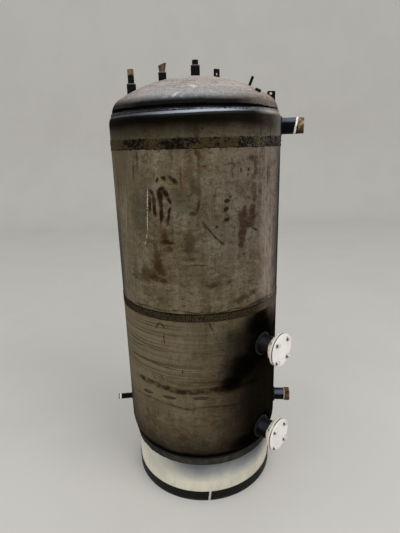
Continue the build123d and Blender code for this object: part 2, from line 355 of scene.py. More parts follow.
def add_pipe(name, outer, inner, low, high, bevel=0.6 * MM):
    """Tube along Z with softened rims."""
    pipe = add_wall(name, outer, low, high, 64, 1)
    thicken(pipe, outer - inner)
    edit(pipe)
    bpy.ops.mesh.select_all(action="SELECT")
    bpy.ops.mesh.remove_doubles(threshold=0.00002)
    bpy.ops.mesh.normals_make_consistent(inside=False)
    leave_edit()
    ease(pipe, bevel, 50)
    return pipe


def add_disc(name, radius, low, high, vertices, bevel):
    """Short solid prism or disc along Z with softened edges."""
    clear_selection()
    bpy.ops.mesh.primitive_cylinder_add(
        vertices=vertices, radius=radius, depth=high - low, location=(0, 0, (low + high) / 2)
    )
    disc = name_piece(name)
    settle(disc)
    ease(disc, bevel, 40)
    return disc


def add_thread(name, crest, pitch, low, high, steps):
    """Helical thread ridge along Z."""
    ridge = pitch / math.sqrt(3)
    turns = max(1, round((high - low) / pitch) - 1)
    upright = Matrix.Rotation(math.pi / 2, 3, "X") @ Matrix.Rotation(-math.pi / 2, 3, "Z")
    clear_selection()
    bpy.ops.mesh.primitive_circle_add(
        vertices=3, radius=ridge, location=(crest - ridge, 0, low + pitch / 2),
        rotation=upright.to_euler(),
    )
    thread = name_piece(name)
    settle(thread)
    use(thread, "SCREW", axis="Z", angle=2 * math.pi, screw_offset=pitch, iterations=turns,
        steps=steps, render_steps=steps, use_merge_vertices=False)
    edit(thread)
    bpy.ops.mesh.select_all(action="SELECT")
    bpy.ops.mesh.fill_holes(sides=3)
    bpy.ops.mesh.normals_make_consistent(inside=False)
    leave_edit()
    return thread


def add_bead(name, radius, height, width, rise, segments):
    """Level ring bead with an oval section."""
    clear_selection()
    bpy.ops.mesh.primitive_torus_add(
        major_radius=radius, minor_radius=width, major_segments=segments, minor_segments=12,
        location=(0, 0, height),
    )
    bead = name_piece(name)
    edit(bead)
    bpy.ops.mesh.select_all(action="SELECT")
    bpy.ops.transform.resize(value=(1, 1, rise / width), center_override=(0, 0, height))
    leave_edit()
    settle(bead)
    return bead


def add_strip(name, radius, low, high, cuts, edge, face, thickness, slant=0.0):
    """Ring strip with ragged edges and a lumpy face.

    cuts gives its segments and rows, edge the reach, grain and depth of the ragged
    edges, and face the grain and depth of the lumps.
    """
    strip = add_wall(name, radius, low, high, *cuts)
    for vertex in strip.data.vertices:
        vertex.co.z += vertex.co.y * slant
    reach, grain, depth = edge

    def near_edge(point):
        level = point.z - point.y * slant
        return max(0.0, 1 - min(level - low, high - level) / reach)

    group = mark_group(strip, "edge", near_edge)
    roughen(strip, grain, depth, "Z", group)
    roughen(strip, *face)
    thicken(strip, thickness)
    return strip


def lay_on_shell(piece, azimuth, height):
    """Bend a piece made flat round Z onto the shell, and put it at its azimuth."""
    for vertex in piece.data.vertices:
        reach = min(abs(vertex.co.x), SHELL_R)
        vertex.co.z -= SHELL_R - math.sqrt(SHELL_R * SHELL_R - reach * reach)
    put(piece, out_from_shell(azimuth, height, SHELL_R))


# Shader arithmetic


class Value:
    """A shader socket that Python arithmetic works on, one Math node a step."""

    def __init__(self, nodes, socket):
        self.nodes = nodes
        self.socket = socket

    def math(self, operation, first, *others):
        """One Math node over numbers and values."""
        return self.nodes.node("Math", {"operation": operation}, dict(enumerate((first, *others))))

    def __add__(self, other):
        return self.math("ADD", self, other)

    __radd__ = __add__

    def __mul__(self, other):
        return self.math("MULTIPLY", self, other)

    __rmul__ = __mul__

    def __sub__(self, other):
        return self.math("SUBTRACT", self, other)

    def __rsub__(self, other):
        return self.math("SUBTRACT", other, self)

    def __neg__(self):
        return self * -1.0

    def __abs__(self):
        return self.math("ABSOLUTE", self)

    def least(self, other):
        """The smaller of two values."""
        return self.math("MINIMUM", self, other)

    def most(self, other):
        """The larger of two values."""
        return self.math("MAXIMUM", self, other)

    def ramp(self, start, end):
        """Smooth step from 0 at start to 1 at end."""
        return self.nodes.node(
            "MapRange", {"interpolation_type": "SMOOTHSTEP"},
            {"Value": self, "From Min": start, "From Max": end},
        )

    def band(self, start, full, falling, end):
        """Smooth rise from start to full, then a smooth fall to 0 at end."""
        return self.ramp(start, full) * self.ramp(end, falling)


class Nodes:
    """A node tree that is being filled."""

    def __init__(self, tree):
        self.tree = tree

    def node(self, kind, settings, sockets, output=0):
        """Add a node, set it up, feed its sockets and return its output or outputs."""
        made = self.tree.nodes.new("ShaderNode" + kind)
        for name, value in settings.items():
            setattr(made, name, value)
        for name, value in sockets.items():
            self.feed(made.inputs[name], value)
        if isinstance(output, tuple):
            return tuple(Value(self, made.outputs[one]) for one in output)
        return Value(self, made.outputs[output])

    def feed(self, socket, value):
        """Link a value to a socket, or set its own number, vector or colour."""
        if isinstance(value, Value):
            self.tree.links.new(value.socket, socket)
        elif socket.type == "RGBA" and len(value) == 3:
            socket.default_value = screen(*value)
        else:
            socket.default_value = value


class Finish(Nodes):
    """A material in the making: its tone so far and its place on the vessel."""

    def __init__(self, name, tone, specular):
        self.material = bpy.data.materials.new(name)
        self.material.use_nodes = True
        super().__init__(self.material.node_tree)
        self.sockets = self.tree.nodes["Principled BSDF"].inputs
        self.sockets["Specular IOR Level"].default_value = specular
        self.tone = tone
        self.place = self.node("TexCoord", {}, {}, "Object")
        self.x, self.y, self.z = self.node("SeparateXYZ", {}, {0: self.place}, (0, 1, 2))

    def mix(self, share, first, second):
        """Blend two colours."""
        settings = {"data_type": "RGBA", "blend_type": "MIX", "clamp_factor": True}
        return self.node("Mix", settings, {0: share, 6: first, 7: second}, 2)

    def lay(self, share, tone):
        """Lay a colour over the tone so far, as much as the share says."""
        self.tone = self.mix(share, self.tone, tone)

    def noise(self, scale, detail=4, rough=0.55, stretch=(1, 1, 1), shift=(0, 0, 0)):
        """Cloudy noise between 0 and 1, drawn out by a stretch."""
        where = self.place
        if stretch != (1, 1, 1) or shift != (0, 0, 0):
            where = self.node(
                "Mapping", {"vector_type": "POINT"},
                {"Vector": where, "Scale": stretch, "Location": shift},
            )
        return self.noise_at(where, scale, detail, rough)

    def noise_at(self, where, scale, detail, rough=0.5):
        """Cloudy noise at a point."""
        return self.node(
            "TexNoise", {"noise_dimensions": "3D"},
            {"Vector": where, "Scale": scale, "Detail": detail, "Roughness": rough},
        )

    def cells(self, scale):
        """Distance to the nearest of scattered points."""
        return self.node("TexVoronoi", {"feature": "F1"}, {"Vector": self.place, "Scale": scale})

    def point(self, *parts):
        """Vector from three values."""
        return self.node("CombineXYZ", {}, dict(enumerate(parts)))

    def around(self):
        """Angle round the vessel in radians, 0 at the front and growing to the right."""
        return self.x.math("ARCTAN2", self.x, -self.y)

    def out(self, azimuth):
        """Distance out along an azimuth in degrees, and sideways from it."""
        ahead, aside = math.sin(azimuth * DEGREE), math.cos(azimuth * DEGREE)
        return self.x * ahead - self.y * aside, self.x * aside + self.y * ahead

    def unrolled(self, wander, grain):
        """Length along the shell, height and 1 as a vector, shaken by a noise."""
        along = self.around() * SHELL_R + (self.noise(grain, 3) - 0.5) * wander
        height = self.z + (self.noise(grain, 3, shift=(5, 3, 1)) - 0.5) * wander
        return self.point(along, height, 1.0)

    def spots(self, plan, marks, soft):
        """Mask of oval marks, each (azimuth, height, half width, half height, tilt)."""
        nearest = None
        for azimuth, height, half_width, half_height, tilt in marks:
            middle = Vector((azimuth * DEGREE * SHELL_R, height * MM))
            along = Vector((math.cos(tilt * DEGREE), math.sin(tilt * DEGREE)))
            across = Vector((-along.y, along.x))
            reach = 0.0
            for axis, half in ((along, half_width * MM), (across, half_height * MM)):
                row = (axis.x / half, axis.y / half, -axis.dot(middle) / half)
                part = self.node(
                    "VectorMath", {"operation": "DOT_PRODUCT"}, {0: plan, 1: row}, "Value"
                )
                reach = part.math("MULTIPLY_ADD", part, part, reach)
            nearest = nearest.least(reach) if nearest else reach
        return nearest.ramp((1 + soft) ** 2, (1 - soft) ** 2)

    def bump(self, height, depth, strength):
        """Fine relief in the surface."""
        relief = {"Strength": strength, "Distance": depth, "Height": height}
        self.feed(self.sockets["Normal"], self.node("Bump", {}, relief, "Normal"))

    def done(self, roughness, metallic=0.0):
        """Feed the shader, and return the material."""
        self.feed(self.sockets["Base Color"], self.tone)
        self.feed(self.sockets["Roughness"], roughness)
        self.feed(self.sockets["Metallic"], metallic)
        return self.material


def strokes(*lines):
    """Oval marks along lines, each a half width and then (azimuth, height) points."""
    marks = []
    for half_width, *points in lines:
        for (start, low), (end, high) in zip(points, points[1:]):
            run = (end - start) * DEGREE * SHELL_R / MM
            rise = high - low
            half = math.hypot(run, rise) / 2 + half_width * 0.6
            tilt = math.degrees(math.atan2(rise, run))
            marks.append(((start + end) / 2, (low + high) / 2, half, half_width, tilt))
    return marks


# Marks on the shell: azimuth in degrees, the rest in millimetres
FINGER_MARKS = strokes(
    (8, (-28.5, 1484), (-26.8, 1470), (-26.7, 1436)), (7, (-26.7, 1434), (-26.5, 1394)),
    (5, (-29.2, 1462), (-29.7, 1404)), (8, (-23, 1490), (-20.5, 1496)),
    (13, (-22.8, 1484), (-22.3, 1454)), (9.5, (-22.2, 1448), (-21.8, 1421)),
    (8.2, (-21.9, 1417), (-22.3, 1368)), (9.5, (-20, 1486), (-17.7, 1466)),
    (6, (-17.4, 1462), (-15.9, 1441)), (5.6, (-16.1, 1422), (-17.3, 1399), (-18.2, 1360)),
    (8, (-16, 1539), (-12.2, 1518)), (3, (-62, 1530), (-61.2, 1490)),
) + [
    (-23.6, 1527, 4.5, 9, -12), (-19.6, 1535, 8.5, 7, 0), (-18.8, 1285, 26, 6, -4),
    (-20.2, 1290, 12, 7, 0),
]
BROWN_MARKS = [
    (-26, 1212, 13, 30, 6), (-26.6, 1182, 19, 26, 10), (-24, 1152, 15, 22, -24),
    (-28.6, 1132, 26, 12, 0), (-23.4, 1126, 18, 9, -10), (-21, 1304, 12, 22, 0),
    (-18.4, 1258, 16, 12, 0),
]
ARM_MARK = strokes((7, (-4.3, 1400), (-1, 1399)), (5, (-0.6, 1404), (1.3, 1450)))
OCHRE_PATCHES = [
    (-21, 1318, 20, 34, 10), (-18.6, 1250, 30, 32, -4), (-24.4, 1200, 26, 50, 10),
    (-23, 1132, 44, 22, 0), (-62, 1500, 14, 80, 0), (43, 1180, 30, 60, -20), (3, 1606, 14, 34, 0),
    (4.5, 1575, 16, 12, 0), (-8.2, 1510, 10, 26, 0),
]
SMALL_DOTS = [
    (17.5, 1442, 12, 8, 12), (16.8, 1412, 10, 8, 0), (17.1, 1371, 10, 8, 0), (11, 1345, 7, 5, 0),
    (19.6, 1456, 5, 3, 20), (26.6, 1555, 3, 8, 0), (32, 1555, 4, 6, 0), (31.5, 1535, 3, 6, 0),
    (28.7, 1224, 4, 4, 0), (3.6, 1705, 5, 4, 0), (6, 932, 3, 3, 0), (7, 908, 2, 3, 0),
    (8.2, 893, 3, 2, 0), (9.4, 874, 3, 3, 0), (10.5, 860, 2, 3, 0), (11.6, 846, 3, 2, 0),
    (14, 814, 3, 4, 0), (-13, 716, 3, 7, 10),
]
RUST_MASS = [
    (29.5, 1402, 9, 22, 0), (28.6, 1366, 23, 40, -6), (35.4, 1378, 18, 42, 2),
    (32, 1350, 34, 24, 0), (27.8, 1312, 18, 38, 0), (26.8, 1266, 11, 14, -20),
    (36.8, 1322, 30, 4, -24),
]
RUST_PATCHES = [
    (36.6, 1482, 13, 26, 0), (37.2, 1446, 10, 18, 0), (34.8, 1596, 14, 10, 0),
    (37.5, 1566, 10, 36, 0), (42.3, 1471, 9, 12, 0), (49.8, 1536, 5, 34, 0),
    (48.9, 1434, 5, 26, 0), (53.4, 1400, 6, 28, 0), (3.6, 1580, 11, 8, -20),
    (1.6, 1598, 8, 22, 0), (0.3, 1704, 9, 22, 0), (0.2, 1676, 6, 14, 8), (0.4, 1626, 7, 16, 4),
    (-9, 1532, 2.5, 40, 0), (-37.1, 1606, 6, 26, 0), (-41.3, 1560, 5, 34, 0),
    (54, 1270, 7, 40, 0), (13, 1106, 46, 6, 8),
]
BACK_PATCHES = [
    (112, 1480, 40, 70, 10), (118, 1260, 22, 90, 0), (140, 1120, 60, 22, 8),
    (165, 1500, 24, 80, -6), (172, 1330, 14, 40, 0), (-100, 1400, 30, 60, 12),
    (-118, 1210, 60, 20, -6), (-138, 1540, 16, 70, 0), (-150, 1300, 40, 36, 24),
    (-168, 760, 50, 40, 0), (128, 700, 44, 60, 14), (-120, 640, 60, 16, 0), (-96, 820, 14, 60, 0),
]
BACK_STROKES = strokes(
    (4, (105, 1390), (106, 1310)), (4, (109, 1400), (110.5, 1330)),
    (3, (150, 1450), (158, 1420), (163, 1402)), (4, (-110, 1530), (-111, 1450)),
    (4, (-128, 1180), (-124, 1120)), (3, (-160, 900), (-150, 880), (-141, 884)),
    (3, (136, 860), (139, 800)),
)
DARK_SCRATCHES = strokes(
    (4, (2.9, 1367), (4.9, 1347), (8.1, 1319), (11.6, 1293), (15.3, 1273)),
    (2.6, (-64, 720), (-51, 731), (-38, 733), (-28, 728), (-18, 721)),
    (2, (-58, 790), (-40, 802), (-25, 801)), (3.8, (-30.6, 908), (-28.4, 934)),
    (3.8, (-27.6, 936), (-24.4, 914)), (2.5, (-36.5, 676), (-34.5, 654)),
    (2.5, (-28.8, 680), (-27.2, 656)), (3.2, (5.1, 941), (7.6, 912)),
    (2, (-9, 1190), (-2, 1196), (5, 1192)), (3.2, (-24.9, 885), (-25.2, 840)),
)
WHITE_SCRATCH = strokes(
    (1.5, (-30.8, 1488), (-31.9, 1400), (-32.7, 1330)), (1.1, (-33.2, 1312), (-34, 1296)),
    (1.1, (-34.6, 1284), (-35.6, 1270)),
)
OVALS = [(-42.5, 567, 32, 8, 6), (-23.8, 575, 33, 8, 3), (-1.4, 588, 35, 8, 1)]
OVAL_MIDDLES = [(*where, wide - 8, tall - 5, tilt) for *where, wide, tall, tilt in OVALS]
SOOT = [
    (47.5, 783, 120, 120, 0), (32, 716, 105, 74, 24), (21, 652, 64, 42, 10), (49, 866, 60, 50, 0),
    (43, 900, 76, 74, 0),
]
LOW_SOOT = [(47.5, 343, 104, 84, 0), (34, 310, 84, 46, 10)]
DULL_PATCHES = [(-38, 1398, 46, 70, 0), (-10, 1450, 34, 44, 0)]
SMEARS = [
    (11, 1112, 60, 9, 6), (1.5, 1090, 22, 7, 20), (-44, 1120, 44, 10, -8), (-3.5, 1222, 34, 5, 6),
    (-40, 1130, 40, 12, -14), (-34, 1150, 70, 26, -10), (30, 1040, 60, 14, 14),
    (-2, 1478, 20, 48, 0), (-5.5, 1290, 18, 44, 0),
]
# Lines along the shell: height and half width in millimetres, from and to in degrees, strength
LEVEL_ARCS = [
    (621, 13, -58, 50, 1.0), (536, 6, -62, 34, 0.7), (994, 3, -70, 70, 0.8),
    (655, 12, -40, 60, 0.5),
]


# Finishes. Round the vessel they count in radians from the front, and heights are in metres


def stained_plate(tones):
    """Rolled mill plate, rubbed, stained and burnt round the welds, with painted shade, sheen and
    highlights.
    """
    coat = Finish("stained_plate", tones.plate, 0.0)
    z = coat.z
    around = coat.around()
    broad = coat.noise(2.6, 3)
    cloud = coat.noise(8, 6, 0.62)
    patch = coat.noise(20, 5, 0.6, shift=(3, 1, 7))
    grain = coat.noise(60, 6, 0.7, stretch=(0.6, 0.6, 1.2))
    speck = coat.noise(230, 4, 0.75)
    runs = coat.noise(1, 6, 0.62, stretch=(26, 26, 3))
    blots = coat.noise(1, 4, 0.6, stretch=(70, 70, 22), shift=(2, 6, 3))

    # Cloudy plate, worn lighter and darker
    coat.lay(broad.ramp(0.36, 0.64), (90, 80, 65))
    coat.lay(cloud.ramp(0.48, 0.66) * 0.6, tones.plate_pale)
    coat.lay(cloud.ramp(0.46, 0.3) * 0.5, tones.plate_dark)

    # Painted sheen lightening the right flank
    right = around.band(-0.2, 0.5, 1.6, 2.4) * z.ramp(1.0, 1.35)
    coat.lay(right * 0.6, (104, 95, 85))
    flank = around.band(0.55, 0.85, 1.6, 2.4) * z.ramp(0.99, 1.08)
    coat.lay(flank * 0.55, (128, 116, 106))

    # Runs, grain, specks and curling scribbles
    coat.lay(runs.ramp(0.52, 0.66) * 0.36, tones.plate_dark)
    coat.lay(runs.ramp(0.46, 0.34) * 0.35, tones.plate_pale)
    coat.lay(patch.ramp(0.54, 0.66) * 0.5, (74, 58, 40))
    coat.lay(grain.ramp(0.52, 0.64) * 0.6, (56, 45, 31))
    coat.lay(grain.ramp(0.45, 0.34) * 0.42, (132, 123, 104))
    coat.lay(speck.ramp(0.54, 0.66) * 0.75, (40, 33, 23))
    coat.lay(speck.ramp(0.44, 0.32) * 0.34, (140, 131, 114))
    coat.lay(blots.ramp(0.59, 0.66) * broad.ramp(0.4, 0.55) * 0.5, (50, 37, 25))
    curl = abs(coat.noise(10, 2, 0.5, shift=(0, 2, 4)) - 0.5).ramp(0.013, 0.004)
    coat.lay(curl * cloud.ramp(0.46, 0.56) * 0.4, (50, 38, 26))
    scrawl = abs(coat.noise(24, 2, 0.5, shift=(6, 0, 1)) - 0.5).ramp(0.02, 0.006)
    coat.lay(scrawl * patch.ramp(0.5, 0.6) * 0.3, (52, 41, 29))

    # Dashed strip on the right, then both sides towards their outlines, with painted shade at each
    # outline
    strip = around.band(0.7, 0.86, 0.96, 1.04) * z.band(0.98, 1.02, 1.2, 1.62)
    dashes = coat.noise(1, 5, 0.7, stretch=(120, 120, 22), shift=(4, 4, 0))
    coat.lay(strip * (0.48 + dashes.ramp(0.5, 0.6) * 0.45), (146, 133, 122))
    coat.lay(strip * dashes.ramp(0.47, 0.38) * 0.7, (70, 58, 48))
    # Painted shade with a grey sheen towards the right outline
    rim = around.ramp(0.96, 1.14) * (around + (cloud - 0.5) * 0.5).ramp(1.85, 1.35)
    rim = rim * z.ramp(0.98, 1.04) * (0.7 + patch.ramp(0.4, 0.6) * 0.3)
    coat.lay(rim * 0.75, (66, 67, 68))
    # Painted shade at the very right outline, fading out near the top
    edge = around.band(1.1, 1.24, 1.34, 1.6) * z.ramp(1.66, 1.5)
    coat.lay(edge * 0.85, (34, 33, 31))
    streaks = coat.noise(1, 5, 0.7, stretch=(60, 60, 9)).ramp(0.47, 0.6)
    left = around.band(-0.55, -0.95, -1.4, -1.6) * z.ramp(0.94, 1.0)
    coat.lay(left * (0.25 + streaks * 0.45), (120, 111, 90))
    tawny = around.band(-0.4, -0.95, -1.8, -2.4) * z.ramp(1.38, 1.58)
    coat.lay(tawny * 0.6, (64, 53, 36))
    # Painted shade along the left outline, fading out higher up
    blue = around.band(-1.04, -1.2, -1.4, -1.8) * z.ramp(1.5, 1.3)
    coat.lay(blue * 0.8, (46, 46, 46))

    # Dull patches and smears, and the turned lines of the lower course
    plan = coat.unrolled(22 * MM, 34)
    near_plan = coat.unrolled(10 * MM, 60)
    coat.lay(coat.spots(plan, DULL_PATCHES, 0.6) * 0.62, (62, 61, 47))
    smears = coat.spots(plan, SMEARS, 0.6) * patch.ramp(0.36, 0.52)
    coat.lay(smears * 0.65, (54, 45, 32))
    lower = z.ramp(COURSE_Z - 6 * MM, COURSE_Z - 30 * MM)
    coat.lay(lower * 0.3, (76, 64, 48))
    rubbed = lower * around.ramp(0.1, -0.6) * z.ramp(0.46, 0.6)
    coat.lay(rubbed * 0.5, (122, 111, 87))
    hoops = coat.noise(1, 5, 0.7, stretch=(1.3, 1.3, 130))
    worn_lines = hoops.ramp(0.51, 0.58) * around.ramp(0.2, -0.6) * lower * z.ramp(0.58, 0.7)
    coat.lay(worn_lines * 0.62, (40, 31, 20))
    pale_lines = hoops.ramp(0.45, 0.36) * lower * z.ramp(0.5, 0.62) * around.ramp(0.5, -0.1)
    coat.lay(pale_lines * 0.42, (128, 116, 93))

    # Rust, brown marks, finger marks and scratches
    ochre = coat.spots(plan, OCHRE_PATCHES, 0.8) * patch.ramp(0.38, 0.56)
    coat.lay(ochre * 0.45, (80, 57, 36))
    coat.lay(coat.spots(near_plan, ARM_MARK, 0.6) * 0.85, (48, 42, 29))
    rust = coat.spots(plan, RUST_MASS, 0.45) * (0.84 + grain.ramp(0.4, 0.52) * 0.14)
    faint = coat.spots(plan, RUST_PATCHES, 0.6) * (0.15 + patch.ramp(0.36, 0.54) * 0.6)
    behind = coat.spots(plan, BACK_PATCHES, 0.6) * (0.25 + cloud.ramp(0.4, 0.6) * 0.6)
    rust = rust.most(faint).most(behind)
    arcs = 0.0
    for *line, strength in LEVEL_ARCS:
        arcs = (level_arc(coat, *line) * strength).most(arcs)
    coat.lay(arcs, (46, 32, 19))
    coat.lay(rust * 0.88, tones.rust)
    brown = coat.spots(plan, BROWN_MARKS, 0.7) * (0.45 + patch.ramp(0.36, 0.52) * 0.45)
    coat.lay(brown, (54, 39, 21))
    fingers = coat.spots(near_plan, FINGER_MARKS + BACK_STROKES, 0.5)
    coat.lay(fingers * (0.8 + patch.ramp(0.36, 0.5) * 0.18), (34, 23, 13))
    rust = rust.most(fingers)
    coat.lay(coat.spots(near_plan, DARK_SCRATCHES, 0.5) * 0.78, (42, 31, 20))
    coat.lay(coat.spots(near_plan, SMALL_DOTS, 0.35) * 0.9, (28, 22, 17))
    coat.lay(coat.spots(near_plan, OVALS, 0.2) * 0.85, (26, 23, 20))
    coat.lay(coat.spots(near_plan, OVAL_MIDDLES, 0.4) * 0.7, (74, 71, 66))
    seam = abs(around * SHELL_R - 8 * MM).ramp(9 * MM, 1 * MM) * z.ramp(1.4, 1.5)
    coat.lay(seam * 0.35, (58, 46, 34))
    bright = coat.spots(coat.unrolled(2 * MM, 160), WHITE_SCRATCH, 0.4)
    bright = bright * coat.noise(240, 2).ramp(0.4, 0.5)
    coat.lay(bright * 0.9, (206, 198, 180))

    # Shaded top and foot, and soot round the nozzles
    gloom = (z + (cloud - 0.5) * 0.04).ramp(1.62, 1.73)
    coat.lay(gloom * (0.94 - right * 0.16), (36, 29, 21))
    turn = around + (cloud - 0.5) * 0.4 + (broad - 0.5) * 0.3
    shade = around.ramp(-0.1, 0.5) * turn.ramp(2.2, 1.5) * z.ramp(0.96, 0.86)
    coat.lay(shade * 0.75, (28, 22, 17))
    wavy = z + (cloud - 0.5) * 0.03
    coat.lay(wavy.ramp(0.46, 0.25) * 0.9, (27, 22, 15))
    soot_plan = coat.unrolled(60 * MM, 9)
    soot_and_shadow = coat.spots(soot_plan, SOOT, 0.75).most(coat.spots(soot_plan, LOW_SOOT, 0.7))
    wide = turn.band(0.12, 0.66, 1.4, 1.9) * (wavy + (broad - 0.5) * 0.2).ramp(0.94, 0.84)
    # The soot mask also takes a painted shadow line on the plate just above the foam strip
    soot_and_shadow = soot_and_shadow.most(wide * 0.86).most(wavy.ramp(0.302, 0.272) * 0.96)
    ring = (wavy + around.ramp(0.0, 0.9) * 0.008).ramp(1.7, 1.738)
    ring = ring * (1 - around.ramp(0.6, 1.0) * 0.8) * (1 - around.ramp(-0.6, -1.1) * 0.15)
    soot_and_shadow = soot_and_shadow.most(ring * 0.88)
    coat.lay(soot_and_shadow * 0.985, tones.soot_and_shadow)

    # Painted highlight along the lip over the shoulder, chalky on the right
    height = z + (grain - 0.5) * 0.004 + (speck - 0.5) * 0.003 - around.ramp(-0.35, 0.5) * 0.006
    glint = around.band(-0.75, 0.05, 0.25, 0.7)
    lip_highlight = coat.mix(glint, (98, 100, 103), (168, 174, 186))
    lit = height.band(1.758, 1.7625, 1.767, 1.772)
    lit = lit.most(height.ramp(1.7475, 1.7575) * 0.05)
    coat.lay(lit * (0.5 + glint * 0.45), lip_highlight)
    ends = around.band(0.62, 1.0, 1.8, 2.4)
    chalky = ends * height.ramp(1.748, 1.763) * (0.5 + speck.ramp(0.58, 0.42) * 0.5)
    coat.lay(chalky, (178, 173, 166))
    # Painted grey sheen high on the right, towards the outline
    crest = around.band(0.9, 1.2, 1.8, 2.4) * z.ramp(1.62, 1.66)
    coat.lay(crest * 0.6, (112, 110, 107))
    # The painted shade at the right outline also makes the plate rougher and less metallic
    soot_and_shadow = soot_and_shadow.most(rim * 0.9)
    coat.bump(grain * 0.6 + hoops * 0.4 + speck * 0.3, 0.5 * MM, 0.5)
    clean = (1 - rust * 0.8) * (1 - soot_and_shadow)
    return coat.done(roughness=0.5 + rust * 0.25 + soot_and_shadow * 0.2, metallic=clean * 0.28)


def level_arc(coat, height, half, start, end):
    """Mask of a wavy level line between two azimuths."""
    around = coat.around()
    wander = (coat.noise(6, 4, shift=(0, 0, height)) - 0.5) * 0.06
    broken = 0.35 + coat.noise(30, 4, shift=(1, 0, height)).ramp(0.36, 0.6) * 0.65
    line = abs(coat.z + wander - height * MM).ramp(half * MM * 1.5, half * MM * 0.4)
    ends = around.ramp(start * DEGREE, (start + 12) * DEGREE)
    return line * broken * ends * around.ramp(end * DEGREE, (end - 12) * DEGREE)


def dome_plate(tones):
    """Pressed plate of the dome, bright on its crown and burnt at its rim."""
    coat = Finish("rubbed_dome", tones.dome, 0.0)
    z = coat.z
    around = coat.around()
    cloud = coat.noise(7, 6, 0.62)
    patch = coat.noise(16, 6, 0.65, shift=(2, 5, 0))
    grain = coat.noise(90, 6, 0.7)
    radius = coat.node(
        "VectorMath", {"operation": "LENGTH"}, {0: coat.point(coat.x, coat.y, 0.0)}, "Value"
    )
    swirl = coat.noise_at(coat.point(radius * 130, around * 1.2, 0.0), 1, 5)
    coat.lay(cloud.ramp(0.38, 0.62), (152, 143, 137))
    coat.lay(patch.ramp(0.54, 0.7) * 0.5, (140, 122, 108))
    coat.lay(swirl.ramp(0.5, 0.62) * 0.4, (200, 194, 188))
    coat.lay(swirl.ramp(0.46, 0.34) * 0.4, (108, 100, 94))
    wavy = z + (cloud - 0.5) * 0.02 + (grain - 0.5) * 0.006
    low = wavy.ramp(1.87, 1.836)
    side = abs(coat.x + 20 * MM).ramp(0.1, 0.27)
    coat.lay(low * (0.8 - side * 0.8), (152, 154, 156))
    coat.lay(low * side * 0.55, (134, 122, 110))
    left = coat.x.ramp(-0.2, -0.34)
    coat.lay(left * wavy.ramp(1.87, 1.81) * 0.7, (72, 67, 60))
    right = coat.x.ramp(0.14, 0.32) * coat.y.ramp(0.3, -0.1)
    rusty = right * patch.ramp(0.42, 0.58)
    coat.lay(rusty * 0.6, (132, 102, 84))
    coat.lay(grain.ramp(0.54, 0.66) * 0.7, (96, 88, 82))
    coat.lay(grain.ramp(0.45, 0.36) * 0.5, (206, 202, 198))
    burnt = wavy.ramp(1.835, 1.803) * 0.98 * (1 - right * 0.5) * (1 - left * 0.12)
    burnt = burnt.most((wavy + right * 0.008).ramp(1.804, 1.793))
    coat.lay(burnt, (5, 5, 6))
    scuff = coat.noise(26, 6, 0.7, shift=(9, 0, 0)).ramp(0.52, 0.64)
    scuffed = coat.x.band(-0.16, -0.11, 0.0, 0.05) * coat.y.ramp(-0.26, -0.29)
    scuffed = scuffed * z.ramp(1.812, 1.826)
    coat.lay(scuff * scuffed * 0.7, (210, 211, 213))
    coat.bump(grain * 0.5 + swirl * 0.5, 0.4 * MM, 0.4)
    clean = (1 - rusty * 0.7) * (1 - burnt)
    return coat.done(roughness=0.44 + grain * 0.12 + burnt * 0.36, metallic=clean * 0.35)


def weld_metal():
    """Weld metal, painted highlight on the dome weld's ripples, black between them and lower down.
    """
    coat = Finish("rippled_weld", (34, 34, 35), 0.1)
    ripple = coat.noise(150, 5, 0.65)
    large = coat.noise(14, 4)
    right = coat.x.ramp(0.16, 0.3)
    # Bright ripples with a painted highlight, stronger on the right and dulled on the left
    coat.lay(ripple.ramp(0.4, 0.56), (158, 162, 170))
    middle = coat.x.ramp(-0.16, -0.04)
    dull = 0.72 - middle * 0.6
    coat.lay(dull.most(large.ramp(0.52, 0.62) * 0.6), (16, 15, 15))
    coat.lay(right * ripple.ramp(0.4, 0.56) * 0.6, (178, 172, 164))
    upper = (coat.z + (ripple - 0.5) * 0.006 - middle * 0.0016).ramp(1.7745, 1.777)
    coat.lay(upper * (0.96 - right * 0.3), (8, 8, 9))
    low = coat.z.ramp(1.76, 1.75)
    coat.lay(low * 0.98, (9, 9, 11))
    coat.bump(ripple, 0.8 * MM, 0.6)
    return coat.done(roughness=0.45 + ripple * 0.3, metallic=(1 - low) * 0.4)


def skirt_paint(tones):
    """Cream paint, greying towards the foam strip above, darkest just below it, and scuffed lower
    down.
    """
    coat = Finish("cream_paint", tones.skirt, 0.25)
    around = coat.around()
    cloud = coat.noise(6, 5, 0.6)
    runs = coat.noise(1, 5, 0.6, stretch=(28, 28, 3))
    grain = coat.noise(120, 4, 0.65)
    coat.lay(cloud.ramp(0.4, 0.66), (196, 192, 178))
    coat.lay(runs.ramp(0.54, 0.7) * 0.4, (178, 170, 150))
    wavy = coat.z + (coat.noise(5, 4, 0.6, shift=(4, 0, 0)) - 0.5) * 0.1
    middle = around.band(-0.8, -0.1, 1.1, 1.5)
    # Greyer towards the top, and darkest just below the foam strip at the front
    greying_upwards = wavy.ramp(0.09, 0.17) * (0.2 + middle * 0.7)
    coat.lay(greying_upwards, (124, 128, 132))
    coat.lay(wavy.ramp(0.15, 0.21) * middle * 0.8, (80, 82, 84))
    specks = coat.cells(46).ramp(0.085, 0.05)
    coat.lay(specks * 0.7, (92, 86, 76))
    dirt = coat.noise(30, 6, 0.7, shift=(0, 7, 0)).ramp(0.58, 0.72)
    coat.lay(dirt * 0.4, (150, 140, 118))
    # The inner face, found by the square of its radius
    inside = (coat.x * coat.x + coat.y * coat.y).ramp(0.1205, 0.1195)
    coat.lay(inside * 0.9, (66, 56, 46))
    coat.bump(grain * 0.5 + cloud * 0.5, 0.4 * MM, 0.4)
    return coat.done(roughness=0.5 + grain * 0.15)


